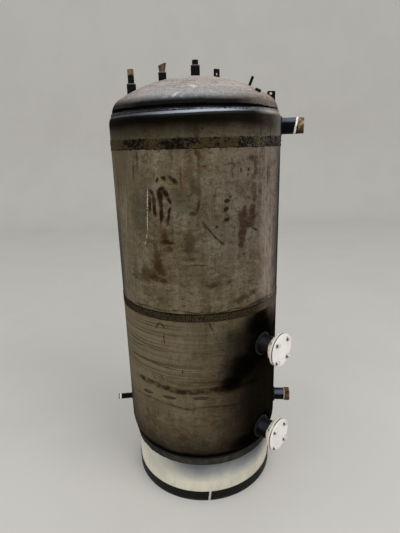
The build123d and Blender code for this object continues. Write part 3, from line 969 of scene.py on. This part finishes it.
def black_rubber():
    """Extruded rubber channel with dust in its grain."""
    coat = Finish("black_rubber", (8, 8, 8), 0.15)
    dust = coat.noise(22, 6, 0.7)
    grain = coat.noise(300, 3)
    coat.lay(dust.ramp(0.5, 0.72) * 0.5, (34, 32, 28))
    foot = (coat.z + (dust - 0.5) * 0.02).ramp(0.012, 0.001)
    coat.lay(foot * 0.5, (74, 70, 62))
    coat.bump(grain * 0.4 + dust * 0.6, 0.3 * MM, 0.4)
    return coat.done(roughness=0.38 + dust * 0.3)


def dried_residue():
    """Brown glue with black lumps where the top strip was pulled off."""
    coat = Finish("dried_residue", (31, 25, 15), 0.05)
    large = coat.noise(9, 4)
    lumps = coat.noise(70, 6, 0.75) + (large - 0.5) * 0.7
    fine = coat.noise(260, 5, 0.75)
    coat.lay(fine.ramp(0.38, 0.62), (70, 58, 36))
    coat.lay(large.ramp(0.42, 0.6) * 0.4, (38, 27, 16))
    coat.lay(lumps.ramp(0.5, 0.55) * 0.96, (6, 5, 5))
    rise = coat.z - TOP_BAND[0].z + (fine - 0.5) * 0.006
    coat.lay(rise.ramp(5 * MM, 1 * MM) * 0.8, (7, 6, 6))
    pale = fine.ramp(0.56, 0.62) * coat.around().ramp(0.25, 0.8)
    coat.lay(pale * 0.85, (132, 132, 132))
    coat.bump(lumps * 0.6 + fine * 0.6, 1.0 * MM, 0.8)
    return coat.done(roughness=0.6 + fine * 0.3)


def gritty_tape():
    """Dark grit-faced strip."""
    coat = Finish("gritty_tape", (6, 5, 3), 0.0)
    grit = coat.noise(360, 2, 0.6)
    cloud = coat.noise(16, 5, 0.6)
    coat.lay(grit.ramp(0.44, 0.57), (68, 60, 45))
    coat.lay(cloud.ramp(0.5, 0.68) * 0.5, (36, 27, 15))
    edge = (coat.z + (cloud - 0.5) * 0.01).ramp(0.978, 0.984)
    coat.lay(edge * 0.75, (14, 11, 7))
    coat.lay(coat.around().band(0.66, 0.9, 1.4, 2.0) * 0.55, (92, 88, 80))
    coat.bump(grit, 0.8 * MM, 0.8)
    return coat.done(roughness=0.75 + grit * 0.2)


def torn_foam():
    """Closed-cell strip, grey on its face, black at its sides and darker at its lower edge, with a
    painted shadow along its top.
    """
    coat = Finish("torn_foam", (36, 35, 29), 0.2)
    cloud = coat.noise(24, 6, 0.68)
    pores = coat.cells(420)
    coat.lay(cloud.ramp(0.4, 0.64), (58, 57, 48))
    coat.lay(pores.ramp(0.5, 0.2) * 0.4, (20, 20, 17))
    wavy = coat.z + (cloud - 0.5) * 0.006
    # Painted shadow along the top edge, in the crevice under the shell
    coat.lay(wavy.ramp(0.244, 0.25) * 0.97, (4, 4, 4))
    low = wavy.ramp(0.221, 0.214)
    coat.lay(low * 0.6, (20, 19, 16))
    sides = abs(coat.around() + 0.05 + (cloud - 0.5) * 0.5).ramp(0.3, 0.8)
    coat.lay(sides * 0.75, (15, 14, 12))
    coat.bump(cloud * 0.6 + pores * 0.5, 1.0 * MM, 0.7)
    return coat.done(roughness=0.82)


def by_bolts(coat):
    """Offsets sideways and up from the nearest cover bolt, and the distance out."""
    out, side = coat.out(NOZZLE_AZIMUTH)
    spot = BOLT_CIRCLE * math.sqrt(0.5)
    between = (NOZZLES["upper"] + NOZZLES["lower"]) / 2
    step = NOZZLES["upper"] - NOZZLES["lower"]
    upper = coat.z.math("GREATER_THAN", coat.z, between)
    rise = coat.z - NOZZLES["lower"] - upper * step
    aside = side - side.math("SIGN", side) * spot
    return aside, rise - rise.math("SIGN", rise) * spot, out


def black_pipe(name, pipes, shine, paint_from=None):
    """Blackened level pipes with a blue sheen along the top, and painted from a distance out."""
    coat = Finish(name, (7, 7, 8), 0.05)
    cloud = coat.noise(22, 5, 0.62)
    grain = coat.noise(160, 5, 0.7)
    coat.lay(cloud.ramp(0.4, 0.64), (18, 18, 20))
    coat.lay(grain.ramp(0.56, 0.7) * 0.5, (46, 38, 30))
    sheen = 0.0
    for pipe in pipes:
        _, height, radius, _ = PIPES[pipe]
        rise = (coat.z - height * MM) * (1 / (radius * MM)) + (cloud - 0.5) * 0.3
        sheen = rise.band(0.3, 0.66, 0.84, 1.04).most(sheen)
    coat.lay(sheen * coat.x.ramp(0.0, 0.1) * shine, (112, 117, 128))
    white = 0.0
    if paint_from:
        reach = coat.out(NOZZLE_AZIMUTH)[0] + (cloud - 0.5) * 0.02
        white = reach.ramp(paint_from - 2 * MM, paint_from + 2 * MM)
        rusty = reach.ramp(paint_from - 45 * MM, paint_from - 5 * MM) * cloud.ramp(0.42, 0.56)
        coat.lay(rusty * 0.5, (46, 32, 23))
        coat.lay(white, (226, 222, 214))
    coat.bump(grain * 0.5 + cloud * 0.5, 0.5 * MM, 0.5)
    return coat.done(roughness=0.42 + grain * 0.2, metallic=(1 - white) * 0.2)


def cover_paint(tones):
    """Brushed white paint, yellowed behind and chipped at the rims, with painted shadows under the
    nuts and along the gasket.
    """
    coat = Finish("cover_paint", tones.cover, 0.3)
    cloud = coat.noise(14, 5, 0.6)
    brush = coat.noise(1, 5, 0.65, stretch=(40, 40, 260))
    grain = coat.noise(190, 4, 0.65)
    aside, rise, reach = by_bolts(coat)
    coat.lay(cloud.ramp(0.42, 0.64) * 0.5, (226, 220, 216))
    coat.lay(brush.ramp(0.56, 0.68) * 0.25, (208, 202, 194))
    # Yellowed back of the cover, and a painted shadow in the gap along the gasket
    back = (reach + (cloud - 0.5) * 0.006).ramp(0.4695, 0.4665)
    coat.lay(back * 0.6, (206, 196, 172))
    gap = reach.band(0.4662, 0.4672, 0.4712, 0.4722)
    coat.lay(gap * cloud.ramp(0.4, 0.46) * 0.85, (62, 52, 42))
    # Painted shadow under each nut, found by the square of the distance
    below = (aside + 3 * MM) * (aside + 3 * MM) + (rise + 4 * MM) * (rise + 4 * MM)
    dark = below.ramp(0.00018, 0.00011) * reach.ramp(0.4765, 0.4772)
    coat.lay(dark * 0.6, (72, 66, 60))
    coat.lay(grain.ramp(0.66, 0.7) * 0.8, (96, 84, 70))
    coat.bump(brush * 0.6 + grain * 0.4, 0.5 * MM, 0.5)
    return coat.done(roughness=0.42 + cloud * 0.2)


def gasket_fibre():
    """Oily fibre gasket."""
    coat = Finish("oily_gasket", (112, 98, 70), 0.2)
    cloud = coat.noise(60, 5, 0.65)
    coat.lay(cloud.ramp(0.42, 0.62), (62, 52, 38))
    coat.bump(cloud, 0.5 * MM, 0.5)
    return coat.done(roughness=0.8)


def bolt_paint():
    """White paint dabbed on the studs and nuts, with painted shade on their lower left sides."""
    coat = Finish("bolt_paint", (234, 230, 226), 0.3)
    aside, rise, reach = by_bolts(coat)
    cloud = coat.noise(110, 4, 0.6)
    coat.lay(cloud.ramp(0.42, 0.54), (204, 198, 190))
    # Painted shade on the lower left side of each nut, short of its end face
    painted_shade_side = (aside * -0.75 - rise * 0.66 + (cloud - 0.5) * 0.006).ramp(1 * MM, 5 * MM)
    painted_shade_side = painted_shade_side * reach.ramp(COVER_FACE + NUT_HEIGHT, COVER_FACE + NUT_HEIGHT - 1.2 * MM)
    coat.lay(painted_shade_side * 0.92, (34, 31, 29))
    bare = coat.noise(90, 4, 0.6, shift=(0, 4, 2)).ramp(0.58, 0.64)
    coat.lay(bare * 0.7, (96, 90, 84))
    coat.bump(cloud, 0.5 * MM, 0.5)
    return coat.done(roughness=0.45 + cloud * 0.2, metallic=bare * 0.4)


def rusty_thread(name, crest, root, low, high):
    """Cut thread, bright on its crests, rusty in the roots and dark below a height: painted shade
    on level pipes, black paint on the dome nipple.
    """
    coat = Finish(name, crest, 0.2)
    cloud = coat.noise(55, 5, 0.65)
    grain = coat.noise(300, 4, 0.7)
    coat.lay(cloud.ramp(0.4, 0.62), root)
    coat.lay(grain.ramp(0.55, 0.68) * 0.6, (40, 30, 22))
    # Dark below a height: painted shade under a level pipe, the edge of black paint on an upright
    # one
    under = (coat.z + (cloud - 0.5) * 0.02).ramp(high, low)
    coat.lay(under * 0.85, (14, 11, 9))
    coat.bump(grain * 0.5 + cloud * 0.5, 0.4 * MM, 0.6)
    return coat.done(roughness=0.5 + cloud * 0.3, metallic=0.3 - cloud * 0.2)


def thread_tape(name, pale, soiled):
    """Sealing tape, soiled in places."""
    coat = Finish(name, pale, 0.3)
    cloud = coat.noise(120, 4, 0.6)
    coat.lay(cloud.ramp(0.5, 0.64) * 0.8, soiled)
    coat.bump(cloud, 0.5 * MM, 0.6)
    return coat.done(roughness=0.5 + cloud * 0.2)


def black_socket():
    """Forged socket, blackened, with a painted highlight along each dome socket's top rim."""
    coat = Finish("black_socket", (8, 8, 8), 0.05)
    cloud = coat.noise(70, 5, 0.65)
    grain = coat.noise(320, 4, 0.7)
    coat.lay(cloud.ramp(0.42, 0.64), (20, 19, 18))
    coat.lay(grain.ramp(0.6, 0.7) * 0.5, (56, 46, 36))
    # Painted highlight along the top rim of each dome socket
    lit = 0.0
    for socket in DOME_SOCKETS:
        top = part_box(socket)[1].z
        across = abs(coat.x - centre_of(socket).x).ramp(24 * MM, 22 * MM)
        rim = (coat.z - (cloud - 0.5) * 0.003).ramp(top - 4 * MM, top - 3 * MM)
        lit = (rim * across * coat.z.ramp(top + 1 * MM, top + 0.2 * MM)).most(lit)
    coat.lay(lit * 0.8, (112, 114, 112))
    coat.bump(grain * 0.6 + cloud * 0.4, 0.4 * MM, 0.5)
    return coat.done(roughness=0.5 + grain * 0.2, metallic=0.1)


def brown_bung():
    """Rough brown bung."""
    coat = Finish("brown_bung", (104, 86, 75), 0.12)
    fibre = coat.noise(1, 5, 0.65, stretch=(260, 260, 30))
    cloud = coat.noise(60, 4, 0.6)
    coat.lay(fibre.ramp(0.4, 0.62), (58, 45, 38))
    middle = centre_of("middle_socket_bung").x
    dark = (coat.x + (cloud - 0.5) * 0.012).ramp(middle - 4 * MM, -0.15)
    coat.lay(dark * 0.85, (24, 18, 15))
    coat.bump(fibre * 0.8 + cloud * 0.3, 0.6 * MM, 0.7)
    return coat.done(roughness=0.75)


def studio_floor(tones):
    """Plain pale floor that keeps the object's shadow."""
    coat = Finish("studio_floor", tones.floor, 0.1)
    cloud = coat.noise(1.6, 4)
    coat.lay(cloud.ramp(0.4, 0.62) * 0.25, (196, 194, 188))
    return coat.done(roughness=0.8)


# Pieces


class Build(bpy.types.Operator):
    """Shared settings of the building steps."""

    bl_options = {"REGISTER", "UNDO"}

    def sizes(self):
        """The lengths set in the panel."""
        return bpy.context.scene.calorifier_sizes

    def tones(self):
        """The colours set in the panel."""
        return bpy.context.scene.calorifier_colours


class CALORIFIER_OT_plates(Build):
    """Finish the rolled plate, the dished ends, the skirt and the plain fittings"""

    bl_idname = "calorifier.plates"
    bl_label = "Finish the plates"

    def execute(self, context):
        tones = self.tones()
        pipe = black_pipe("sheeny_pipe", ("upper_nipple", "right_nipple"), shine=0.7)
        neck = black_pipe(
            "painted_neck", ("upper_nozzle", "lower_nozzle"), shine=0.12, paint_from=434 * MM
        )
        finishes = {
            stained_plate(tones): ("upper_shell", "lower_shell", "bottom_dished_end"),
            dome_plate(tones): ("top_dished_end",),
            skirt_paint(tones): ("foot_skirt",),
            black_rubber(): ("skirt_edge_trim",),
            neck: ("upper_nozzle_neck", "lower_nozzle_neck"),
            cover_paint(tones): (
                "upper_nozzle_flange", "lower_nozzle_flange",
                "upper_blind_cover", "lower_blind_cover",
            ),
            gasket_fibre(): ("upper_nozzle_gasket", "lower_nozzle_gasket"),
            pipe: ("right_lower_nipple", "left_stub"),
            black_socket(): (
                *DOME_SOCKETS, "centre_socket_plug", "near_lifting_lug", "far_lifting_lug",
                "capped_vent_stub", "small_dome_boss",
            ),
            brown_bung(): ("middle_socket_bung",),
        }
        for material, nodes in finishes.items():
            for node in nodes:
                paint(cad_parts[node], material)
        return {"FINISHED"}


class CALORIFIER_OT_dome_weld(Build):
    """Rippled weld between the dome and the rolled lip of the shell"""

    bl_idname = "calorifier.dome_weld"
    bl_label = "Dome weld"

    def execute(self, context):
        sizes = self.sizes()
        low, high = WELD_BOX
        bead = add_bead(
            "dome_weld", radius=high.x - 3.2 * MM, height=low.z + 3 * MM, width=4.2 * MM,
            rise=5 * MM, segments=1440,
        )
        roughen(bead, sizes.weld_grain, sizes.weld_rough * 1.3)
        roughen(bead, grain=40 * MM, depth=3 * MM, direction="Z")
        carry(bead, 60, weld_metal(), "weld_metal", "top_weld_bead")
        return {"FINISHED"}


class CALORIFIER_OT_root_welds(Build):
    """Fillet welds round the nozzles and nipples where they leave the shell"""

    bl_idname = "calorifier.root_welds"
    bl_label = "Root welds"

    def execute(self, context):
        sizes = self.sizes()
        metal = bpy.data.materials["rippled_weld"]
        for pipe, (azimuth, height, pipe_r, width) in PIPES.items():
            node = pipe + "_root_weld"
            ring_r = (pipe_r + width * 0.3) * MM
            segments = 160 if pipe_r > 20 else 80
            bead = add_bead(node + "_bead", ring_r, 0, width * MM, width * MM, segments)
            roughen(bead, sizes.weld_grain * 1.4, sizes.weld_rough)
            lay_on_shell(bead, azimuth, height * MM)
            carry(bead, 60, metal, "weld_metal", node)
        return {"FINISHED"}


class CALORIFIER_OT_seams(Build):
    """Flush seams where each rolled course closes on itself"""

    bl_idname = "calorifier.seams"
    bl_label = "Long seams"

    def execute(self, context):
        sizes = self.sizes()
        plate = bpy.data.materials["stained_plate"]
        courses = (
            ("upper_long_seam", 1.2, COURSE_Z, TOP_BAND[0].z),
            ("lower_long_seam", 152.0, 0.34, COURSE_Z),
        )
        for name, azimuth, low, high in courses:
            clear_selection()
            bpy.ops.mesh.primitive_cylinder_add(
                vertices=14, radius=4 * MM, depth=high - low, location=(0, 0, 0)
            )
            seam = name_piece(name)
            edit(seam)
            pick(seam, "edges", lambda ends: abs(ends[0].z - ends[1].z) > 0.1)
            bpy.ops.mesh.subdivide(number_cuts=240)
            bpy.ops.mesh.select_all(action="SELECT")
            bpy.ops.transform.resize(value=(1, 0.2, 1), center_override=(0, 0, 0))
            leave_edit()
            roughen(seam, sizes.weld_grain, depth=0.5 * MM)
            on_front = Matrix.Translation((0, -SHELL_R, (low + high) / 2))
            put(seam, Matrix.Rotation(azimuth * DEGREE, 4, "Z") @ on_front)
            carry(seam, 60, plate, "shell_steel")
        return {"FINISHED"}


class CALORIFIER_OT_bands(Build):
    """Residue of the stripped top band, with its crumbs, and the gritty middle band"""

    bl_idname = "calorifier.bands"
    bl_label = "Bands"

    def execute(self, context):
        sizes = self.sizes()
        low, high = TOP_BAND
        glue = add_strip(
            "top_band_glue", high.x - 0.6 * MM, low.z, high.z, cuts=(1400, 9),
            edge=(6 * MM, 14 * MM, 8 * MM), face=(7 * MM, sizes.band_rough * 2),
            thickness=1.2 * MM,
        )
        residue = dried_residue()
        carry(glue, 50, residue, "band_residue", "top_band_residue")
        if sizes.crumbs:
            self.crumbs(sizes.crumbs, residue)
        low, high = MIDDLE_BAND
        tape = add_strip(
            "middle_band_strip", high.x - 0.2 * MM, low.z, high.z, cuts=(900, 6),
            edge=(5 * MM, 30 * MM, 3 * MM), face=(5 * MM, 0.7 * MM), thickness=1.4 * MM,
        )
        carry(tape, 50, gritty_tape(), "band_tape", "middle_band")
        return {"FINISHED"}

    def crumbs(self, count, residue):
        """Crumbs of glue scattered along the top band, larger on the flanks."""
        low, high = TOP_BAND
        draw = random.Random(7)
        clear_selection()
        bpy.ops.mesh.primitive_ico_sphere_add(subdivisions=1, radius=1.6 * MM)
        first = name_piece("first_crumb")
        roughen(first, grain=3 * MM, depth=1.2 * MM)
        crumbs = []
        for _ in range(count):
            azimuth = draw.uniform(-math.pi, math.pi)
            height = low.z + (high.z - low.z) * draw.choice((0.08, 0.5, 0.8, 0.95))
            height += draw.gauss(0, 3 * MM)
            crumb = twin(first)
            flank = abs(math.sin(azimuth)) ** 6
            reach = high.x - 1.4 * MM + flank * 2.1 * MM
            crumb.scale = [draw.uniform(0.5, 1.5), draw.uniform(0.5, 1.5), draw.uniform(0.4, 1.1)]
            crumb.scale *= 1 + flank
            crumb.scale.y *= 0.55
            crumb.rotation_euler = (0, 0, azimuth)
            crumb.location = (math.sin(azimuth) * reach, -math.cos(azimuth) * reach, height)
            crumbs.append(crumb)
        bpy.data.objects.remove(first)
        carry(join("top_band_crumbs", crumbs), 0, residue, "band_residue")


class CALORIFIER_OT_foam(Build):
    """Foam strip in the corner between the shell and the skirt, torn at the left"""

    bl_idname = "calorifier.foam"
    bl_label = "Foam strip"

    def execute(self, context):
        sizes = self.sizes()
        low, high = FOAM_BOX
        rows = 15
        face_r = SKIRT_R + 5.2 * MM
        # The shell's lower knuckle, grown by the foam that lies on it
        knuckle_z, centre_r, knuckle_r = 0.325, SHELL_R - 0.150, 0.1545
        strip = add_wall("foam_strip", face_r, low.z, high.z, 720, rows)
        edit(strip)
        for row in range(rows + 1):
            height = low.z + (high.z - low.z) * row / rows
            drop = knuckle_z - height
            reach = centre_r + math.sqrt(knuckle_r * knuckle_r - drop * drop)
            if reach > face_r:
                pick(strip, "verts", lambda at: abs(at[0].z - height) < 0.2 * MM)
                share = reach / face_r
                bpy.ops.transform.resize(
                    value=(share, share, 1), center_override=(0, 0, height)
                )
        leave_edit()

        def torn(point):
            azimuth = math.degrees(math.atan2(point.x, -point.y))
            side = max(0.12, 1 - abs(azimuth + 52) / 34, 0.8 - abs(azimuth - 130) / 30)
            return side * max(0.0, 1 - (point.z - low.z) / (26 * MM))

        group = mark_group(strip, "torn", torn)
        roughen(strip, grain=15 * MM, depth=sizes.torn_depth, direction="Z", group=group)
        roughen(strip, grain=26 * MM, depth=4 * MM, group=group)
        roughen(strip, grain=9 * MM, depth=1.2 * MM)
        thicken(strip, 6 * MM)
        carry(strip, 45, torn_foam(), "foam_strip", "lower_foam_strip")
        return {"FINISHED"}


class CALORIFIER_OT_nozzles(Build):
    """Studs and nuts of the covers, and the thick paint round each hub"""

    bl_idname = "calorifier.nozzles"
    bl_label = "Nozzle bolts and paint"

    def execute(self, context):
        bolt = self.stud_and_nuts(self.sizes().bolt_size / math.sqrt(3))
        dabbed = bolt_paint()
        cover = bpy.data.materials["cover_paint"]
        draw = random.Random(11)
        for level, height in NOZZLES.items():
            outward = out_from_shell(NOZZLE_AZIMUTH, height)
            copies = []
            for turn in (45 * DEGREE, 135 * DEGREE, 225 * DEGREE, 315 * DEGREE):
                copy = twin(bolt)
                spin = Matrix.Rotation(draw.uniform(0, math.pi / 3), 4, "Z")
                spot = Vector((math.cos(turn), math.sin(turn), 0)) * BOLT_CIRCLE
                put(copy, outward @ Matrix.Translation(spot) @ spin)
                copies.append(copy)
            bolts = join(level + "_bolt_set", copies)
            carry(bolts, 35, dabbed, "bolt_zinc", level + "_cover_bolts")
        bpy.data.objects.remove(bolt)
        for level, height in NOZZLES.items():
            lump = add_bead(
                level + "_hub_paint", radius=49 * MM, height=446 * MM, width=8 * MM,
                rise=11 * MM, segments=128,
            )
            roughen(lump, grain=17 * MM, depth=7 * MM)
            roughen(lump, grain=6 * MM, depth=2.2 * MM)
            put(lump, out_from_shell(NOZZLE_AZIMUTH, height))
            carry(lump, 60, cover, "coated_flange")
        return {"FINISHED"}

    def stud_and_nuts(self, corner):
        """Threaded stud with a chamfered nut at each end, on the nozzle's axis."""
        face, back = COVER_FACE, FLANGE_BACK
        front, rear = face + STUD_END, back - STUD_END
        return join("cover_bolt", [
            add_disc("front_nut", corner, face, face + NUT_HEIGHT, vertices=6, bevel=1.3 * MM),
            add_disc(
                "rear_nut", corner, back - 10 * MM, back + 0.2 * MM, vertices=6, bevel=1.2 * MM
            ),
            add_disc("stud", STUD_R - 0.5 * MM, rear, front, vertices=24, bevel=0.6 * MM),
            add_thread("coil", STUD_R, STUD_PITCH, front - 3.6 * MM, front - 0.1 * MM, steps=24),
            add_thread("tail", STUD_R, STUD_PITCH, rear, rear + 3.5 * MM, steps=24),
        ])


class CALORIFIER_OT_nipples(Build):
    """Plain lengths, threads and tape of the nipples, and tape on the left stub"""

    bl_idname = "calorifier.nipples"
    bl_label = "Nipples and threads"

    def execute(self, context):
        pitch = self.sizes().thread_pitch
        width = self.sizes().tape_width
        # Below the given heights the level nipples' threads get painted shade and the dome
        # nipple's thread gets black paint
        brass = rusty_thread("upper_thread", (178, 158, 122), (96, 70, 42), low=1.69, high=1.715)
        rusty = rusty_thread("lower_thread", (150, 122, 92), (66, 44, 28), low=0.345, high=0.375)
        khaki = rusty_thread("dome_thread", (134, 126, 100), (84, 76, 56), low=1.93, high=1.945)
        tape = thread_tape("white_tape", (238, 236, 232), (150, 140, 124))
        worn = thread_tape("worn_tape", (176, 160, 138), (98, 84, 68))
        upper = out_along("upper_nipple")
        lower = out_along("right_nipple")
        self.plain_length(
            "upper_nipple_body", upper, "sheeny_pipe", "upper_right_nipple",
            outer=33.5, bore=29.85, low=366, high=443,
        )
        self.threaded_end(
            "upper_nipple_thread", upper, pitch, brass, outer=33.3, bore=29.85, low=440, high=469
        )
        self.tape_ring(
            "upper_nipple_tape", upper, tape, width, radius=34.0, distance=436, slant=0.16
        )
        self.threaded_end(
            "lower_nipple_thread", lower, pitch, rusty, outer=33.6, bore=26.5, low=434, high=458,
            nodes=("right_nipple_collar",),
        )
        self.tape_ring(
            "lower_nipple_tape", lower, worn, width * 0.6, radius=30.6, distance=430, slant=0.04
        )
        stub = out_along("left_stub")
        self.tape_ring(
            "left_stub_tape", stub, tape, width * 1.1, radius=13.6, distance=437, slant=-0.05
        )
        middle = centre_of("left_dome_nipple")
        on_dome = Matrix.Translation((middle.x, middle.y, 0))
        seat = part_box("left_dome_socket")[1].z / MM
        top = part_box("left_dome_nipple")[1].z / MM
        self.plain_length(
            "dome_nipple_body", on_dome, "black_socket", "left_dome_nipple",
            outer=13.3, bore=10.85, low=seat - 10, high=top - 24,
        )
        self.threaded_end(
            "dome_nipple_thread", on_dome, 1.81 * MM, khaki,
            outer=13.4, bore=10.85, low=top - 25, high=top,
        )
        return {"FINISHED"}

    def plain_length(self, name, place, material, node, outer, bore, low, high):
        """Plain length of pipe; sizes in millimetres."""
        pipe = add_pipe(name, outer * MM, bore * MM, low * MM, high * MM)
        put(pipe, place)
        carry(pipe, 40, bpy.data.materials[material], "black_pipe", node)

    def threaded_end(self, name, place, pitch, material, outer, bore, low, high, nodes=()):
        """Short pipe end with a cut thread; sizes in millimetres but the pitch."""
        root = outer * MM - pitch * 0.45
        core = add_pipe(name + "_core", root, bore * MM, low * MM, high * MM, 0.5 * MM)
        coil = add_thread(name, outer * MM, pitch, low * MM + 1 * MM, high * MM - 1 * MM, 64)
        end = join(name, [coil, core])
        put(end, place)
        carry(end, 30, material, "rusty_thread", *nodes)

    def tape_ring(self, name, place, material, width, radius, distance, slant):
        """Wrap of tape with ragged edges; radius and distance in millimetres."""
        low = distance * MM - width / 2
        high = distance * MM + width / 2
        wrap = add_strip(
            name, radius * MM + 0.8 * MM, low, high, cuts=(120, 4),
            edge=(width * 0.3, 9 * MM, width * 0.5), face=(6 * MM, 0.6 * MM),
            thickness=0.9 * MM, slant=slant,
        )
        put(wrap, place)
        carry(wrap, 50, material, "coated_flange")


class CALORIFIER_OT_stage(Build):
    """Floor, backdrop, lights and camera"""

    bl_idname = "calorifier.stage"
    bl_label = "Stage"

    def execute(self, context):
        stage = context.scene.calorifier_stage
        self.floor(size=14, rise=6, curve=2)
        self.sky(stage.sky)
        self.lamp("key_lamp", place=(2.6, -2.4, 4.6), aim_z=1.0, power=stage.key)
        self.lamp("fill_lamp", place=(-3.2, -3.4, 2.6), aim_z=0.9, power=stage.key * 0.5)
        self.camera(stage)
        context.scene.view_settings.view_transform = "Standard"
        return {"FINISHED"}

    def floor(self, size, rise, curve):
        """Pale floor that curves up into a backdrop behind the vessel."""
        clear_selection()
        bpy.ops.mesh.primitive_plane_add(size=size, location=(0, 1.5, 0))
        floor = name_piece("studio_floor_sheet")
        settle(floor)
        edit(floor)
        pick(floor, "edges", lambda ends: min(end.y for end in ends) > size / 2)
        bpy.ops.mesh.extrude_region_move(TRANSFORM_OT_translate={"value": (0, 0, rise)})
        pick(floor, "edges", lambda ends: all(end.y > size / 2 and end.z < 0.1 for end in ends))
        bpy.ops.mesh.bevel(offset=curve, segments=16)
        leave_edit()
        smooth(floor, 60)
        paint(floor, studio_floor(self.tones()))

    def sky(self, strength):
        """Even light, with a pale backdrop for the camera and for glass."""
        world = bpy.data.worlds.new("studio_sky")
        world.use_nodes = True
        bpy.context.scene.world = world
        sky = Nodes(world.node_tree)
        sky.tree.nodes.clear()
        seen, through = sky.node("LightPath", {}, {}, ("Is Camera Ray", "Is Transmission Ray"))
        light = sky.node("Background", {}, {"Color": (1, 1, 1, 1), "Strength": strength})
        backdrop = sky.node("Background", {}, {"Color": self.tones().floor})
        shown = sky.node("MixShader", {}, {0: seen.most(through), 1: light, 2: backdrop})
        output = sky.tree.nodes.new("ShaderNodeOutputWorld")
        sky.feed(output.inputs["Surface"], shown)

    def lamp(self, name, place, aim_z, power, size=3):
        """Soft square lamp turned to a height on the vessel's axis."""
        clear_selection()
        bpy.ops.object.light_add(type="AREA", location=place)
        lamp = bpy.context.object
        lamp.name = name
        lamp.data.size = size
        lamp.data.energy = power
        to_axis = Vector((0, 0, aim_z)) - Vector(place)
        lamp.rotation_euler = to_axis.to_track_quat("-Z", "Y").to_euler()

    def camera(self, stage):
        """Camera at the photograph's place."""
        level = Vector((math.cos(stage.yaw), -math.sin(stage.yaw), 0))
        forward = Vector((math.sin(stage.yaw), math.cos(stage.yaw), 0))
        ahead = forward * math.cos(stage.pitch) - Vector((0, 0, math.sin(stage.pitch)))
        above = level.cross(ahead)
        right = level * math.cos(stage.roll) + above * math.sin(stage.roll)
        up = above * math.cos(stage.roll) - level * math.sin(stage.roll)
        bpy.ops.object.camera_add(location=(0, -stage.camera_away, stage.camera_up))
        camera = bpy.context.object
        camera.name = "photo_camera"
        camera.rotation_euler = Matrix((right, up, -ahead)).transposed().to_euler()
        camera.data.sensor_width = 36
        camera.data.lens = stage.lens
        bpy.context.scene.camera = camera


STEPS = (
    CALORIFIER_OT_plates,
    CALORIFIER_OT_dome_weld,
    CALORIFIER_OT_root_welds,
    CALORIFIER_OT_seams,
    CALORIFIER_OT_bands,
    CALORIFIER_OT_foam,
    CALORIFIER_OT_nozzles,
    CALORIFIER_OT_nipples,
    CALORIFIER_OT_stage,
)


class CALORIFIER_PT_panel(bpy.types.Panel):
    """Sizes, colours and building steps of the calorifier"""

    bl_label = "Calorifier"
    bl_space_type = "VIEW_3D"
    bl_region_type = "UI"
    bl_category = "Calorifier"

    def draw(self, context):
        groups = ("calorifier_sizes", "calorifier_colours", "calorifier_stage")
        for group in groups:
            holder = getattr(context.scene, group)
            column = self.layout.column()
            for name in holder.__annotations__:
                column.prop(holder, name)
        for step in STEPS:
            self.layout.operator(step.bl_idname)


GROUPS = {
    "calorifier_sizes": CalorifierSizes,
    "calorifier_colours": CalorifierColours,
    "calorifier_stage": CalorifierStage,
}
CLASSES = (*GROUPS.values(), *STEPS, CALORIFIER_PT_panel)


def register():
    """Register the classes and hang the settings on the scene."""
    for one in CLASSES:
        bpy.utils.register_class(one)
    for name, group in GROUPS.items():
        setattr(bpy.types.Scene, name, PointerProperty(type=group))


def unregister():
    """Undo register."""
    for name in GROUPS:
        delattr(bpy.types.Scene, name)
    for one in reversed(CLASSES):
        bpy.utils.unregister_class(one)


def main():
    """Build every piece in order."""
    register()
    for step in STEPS:
        group, name = step.bl_idname.split(".")
        getattr(getattr(bpy.ops, group), name)()


if __name__ == "__main__":
    main()
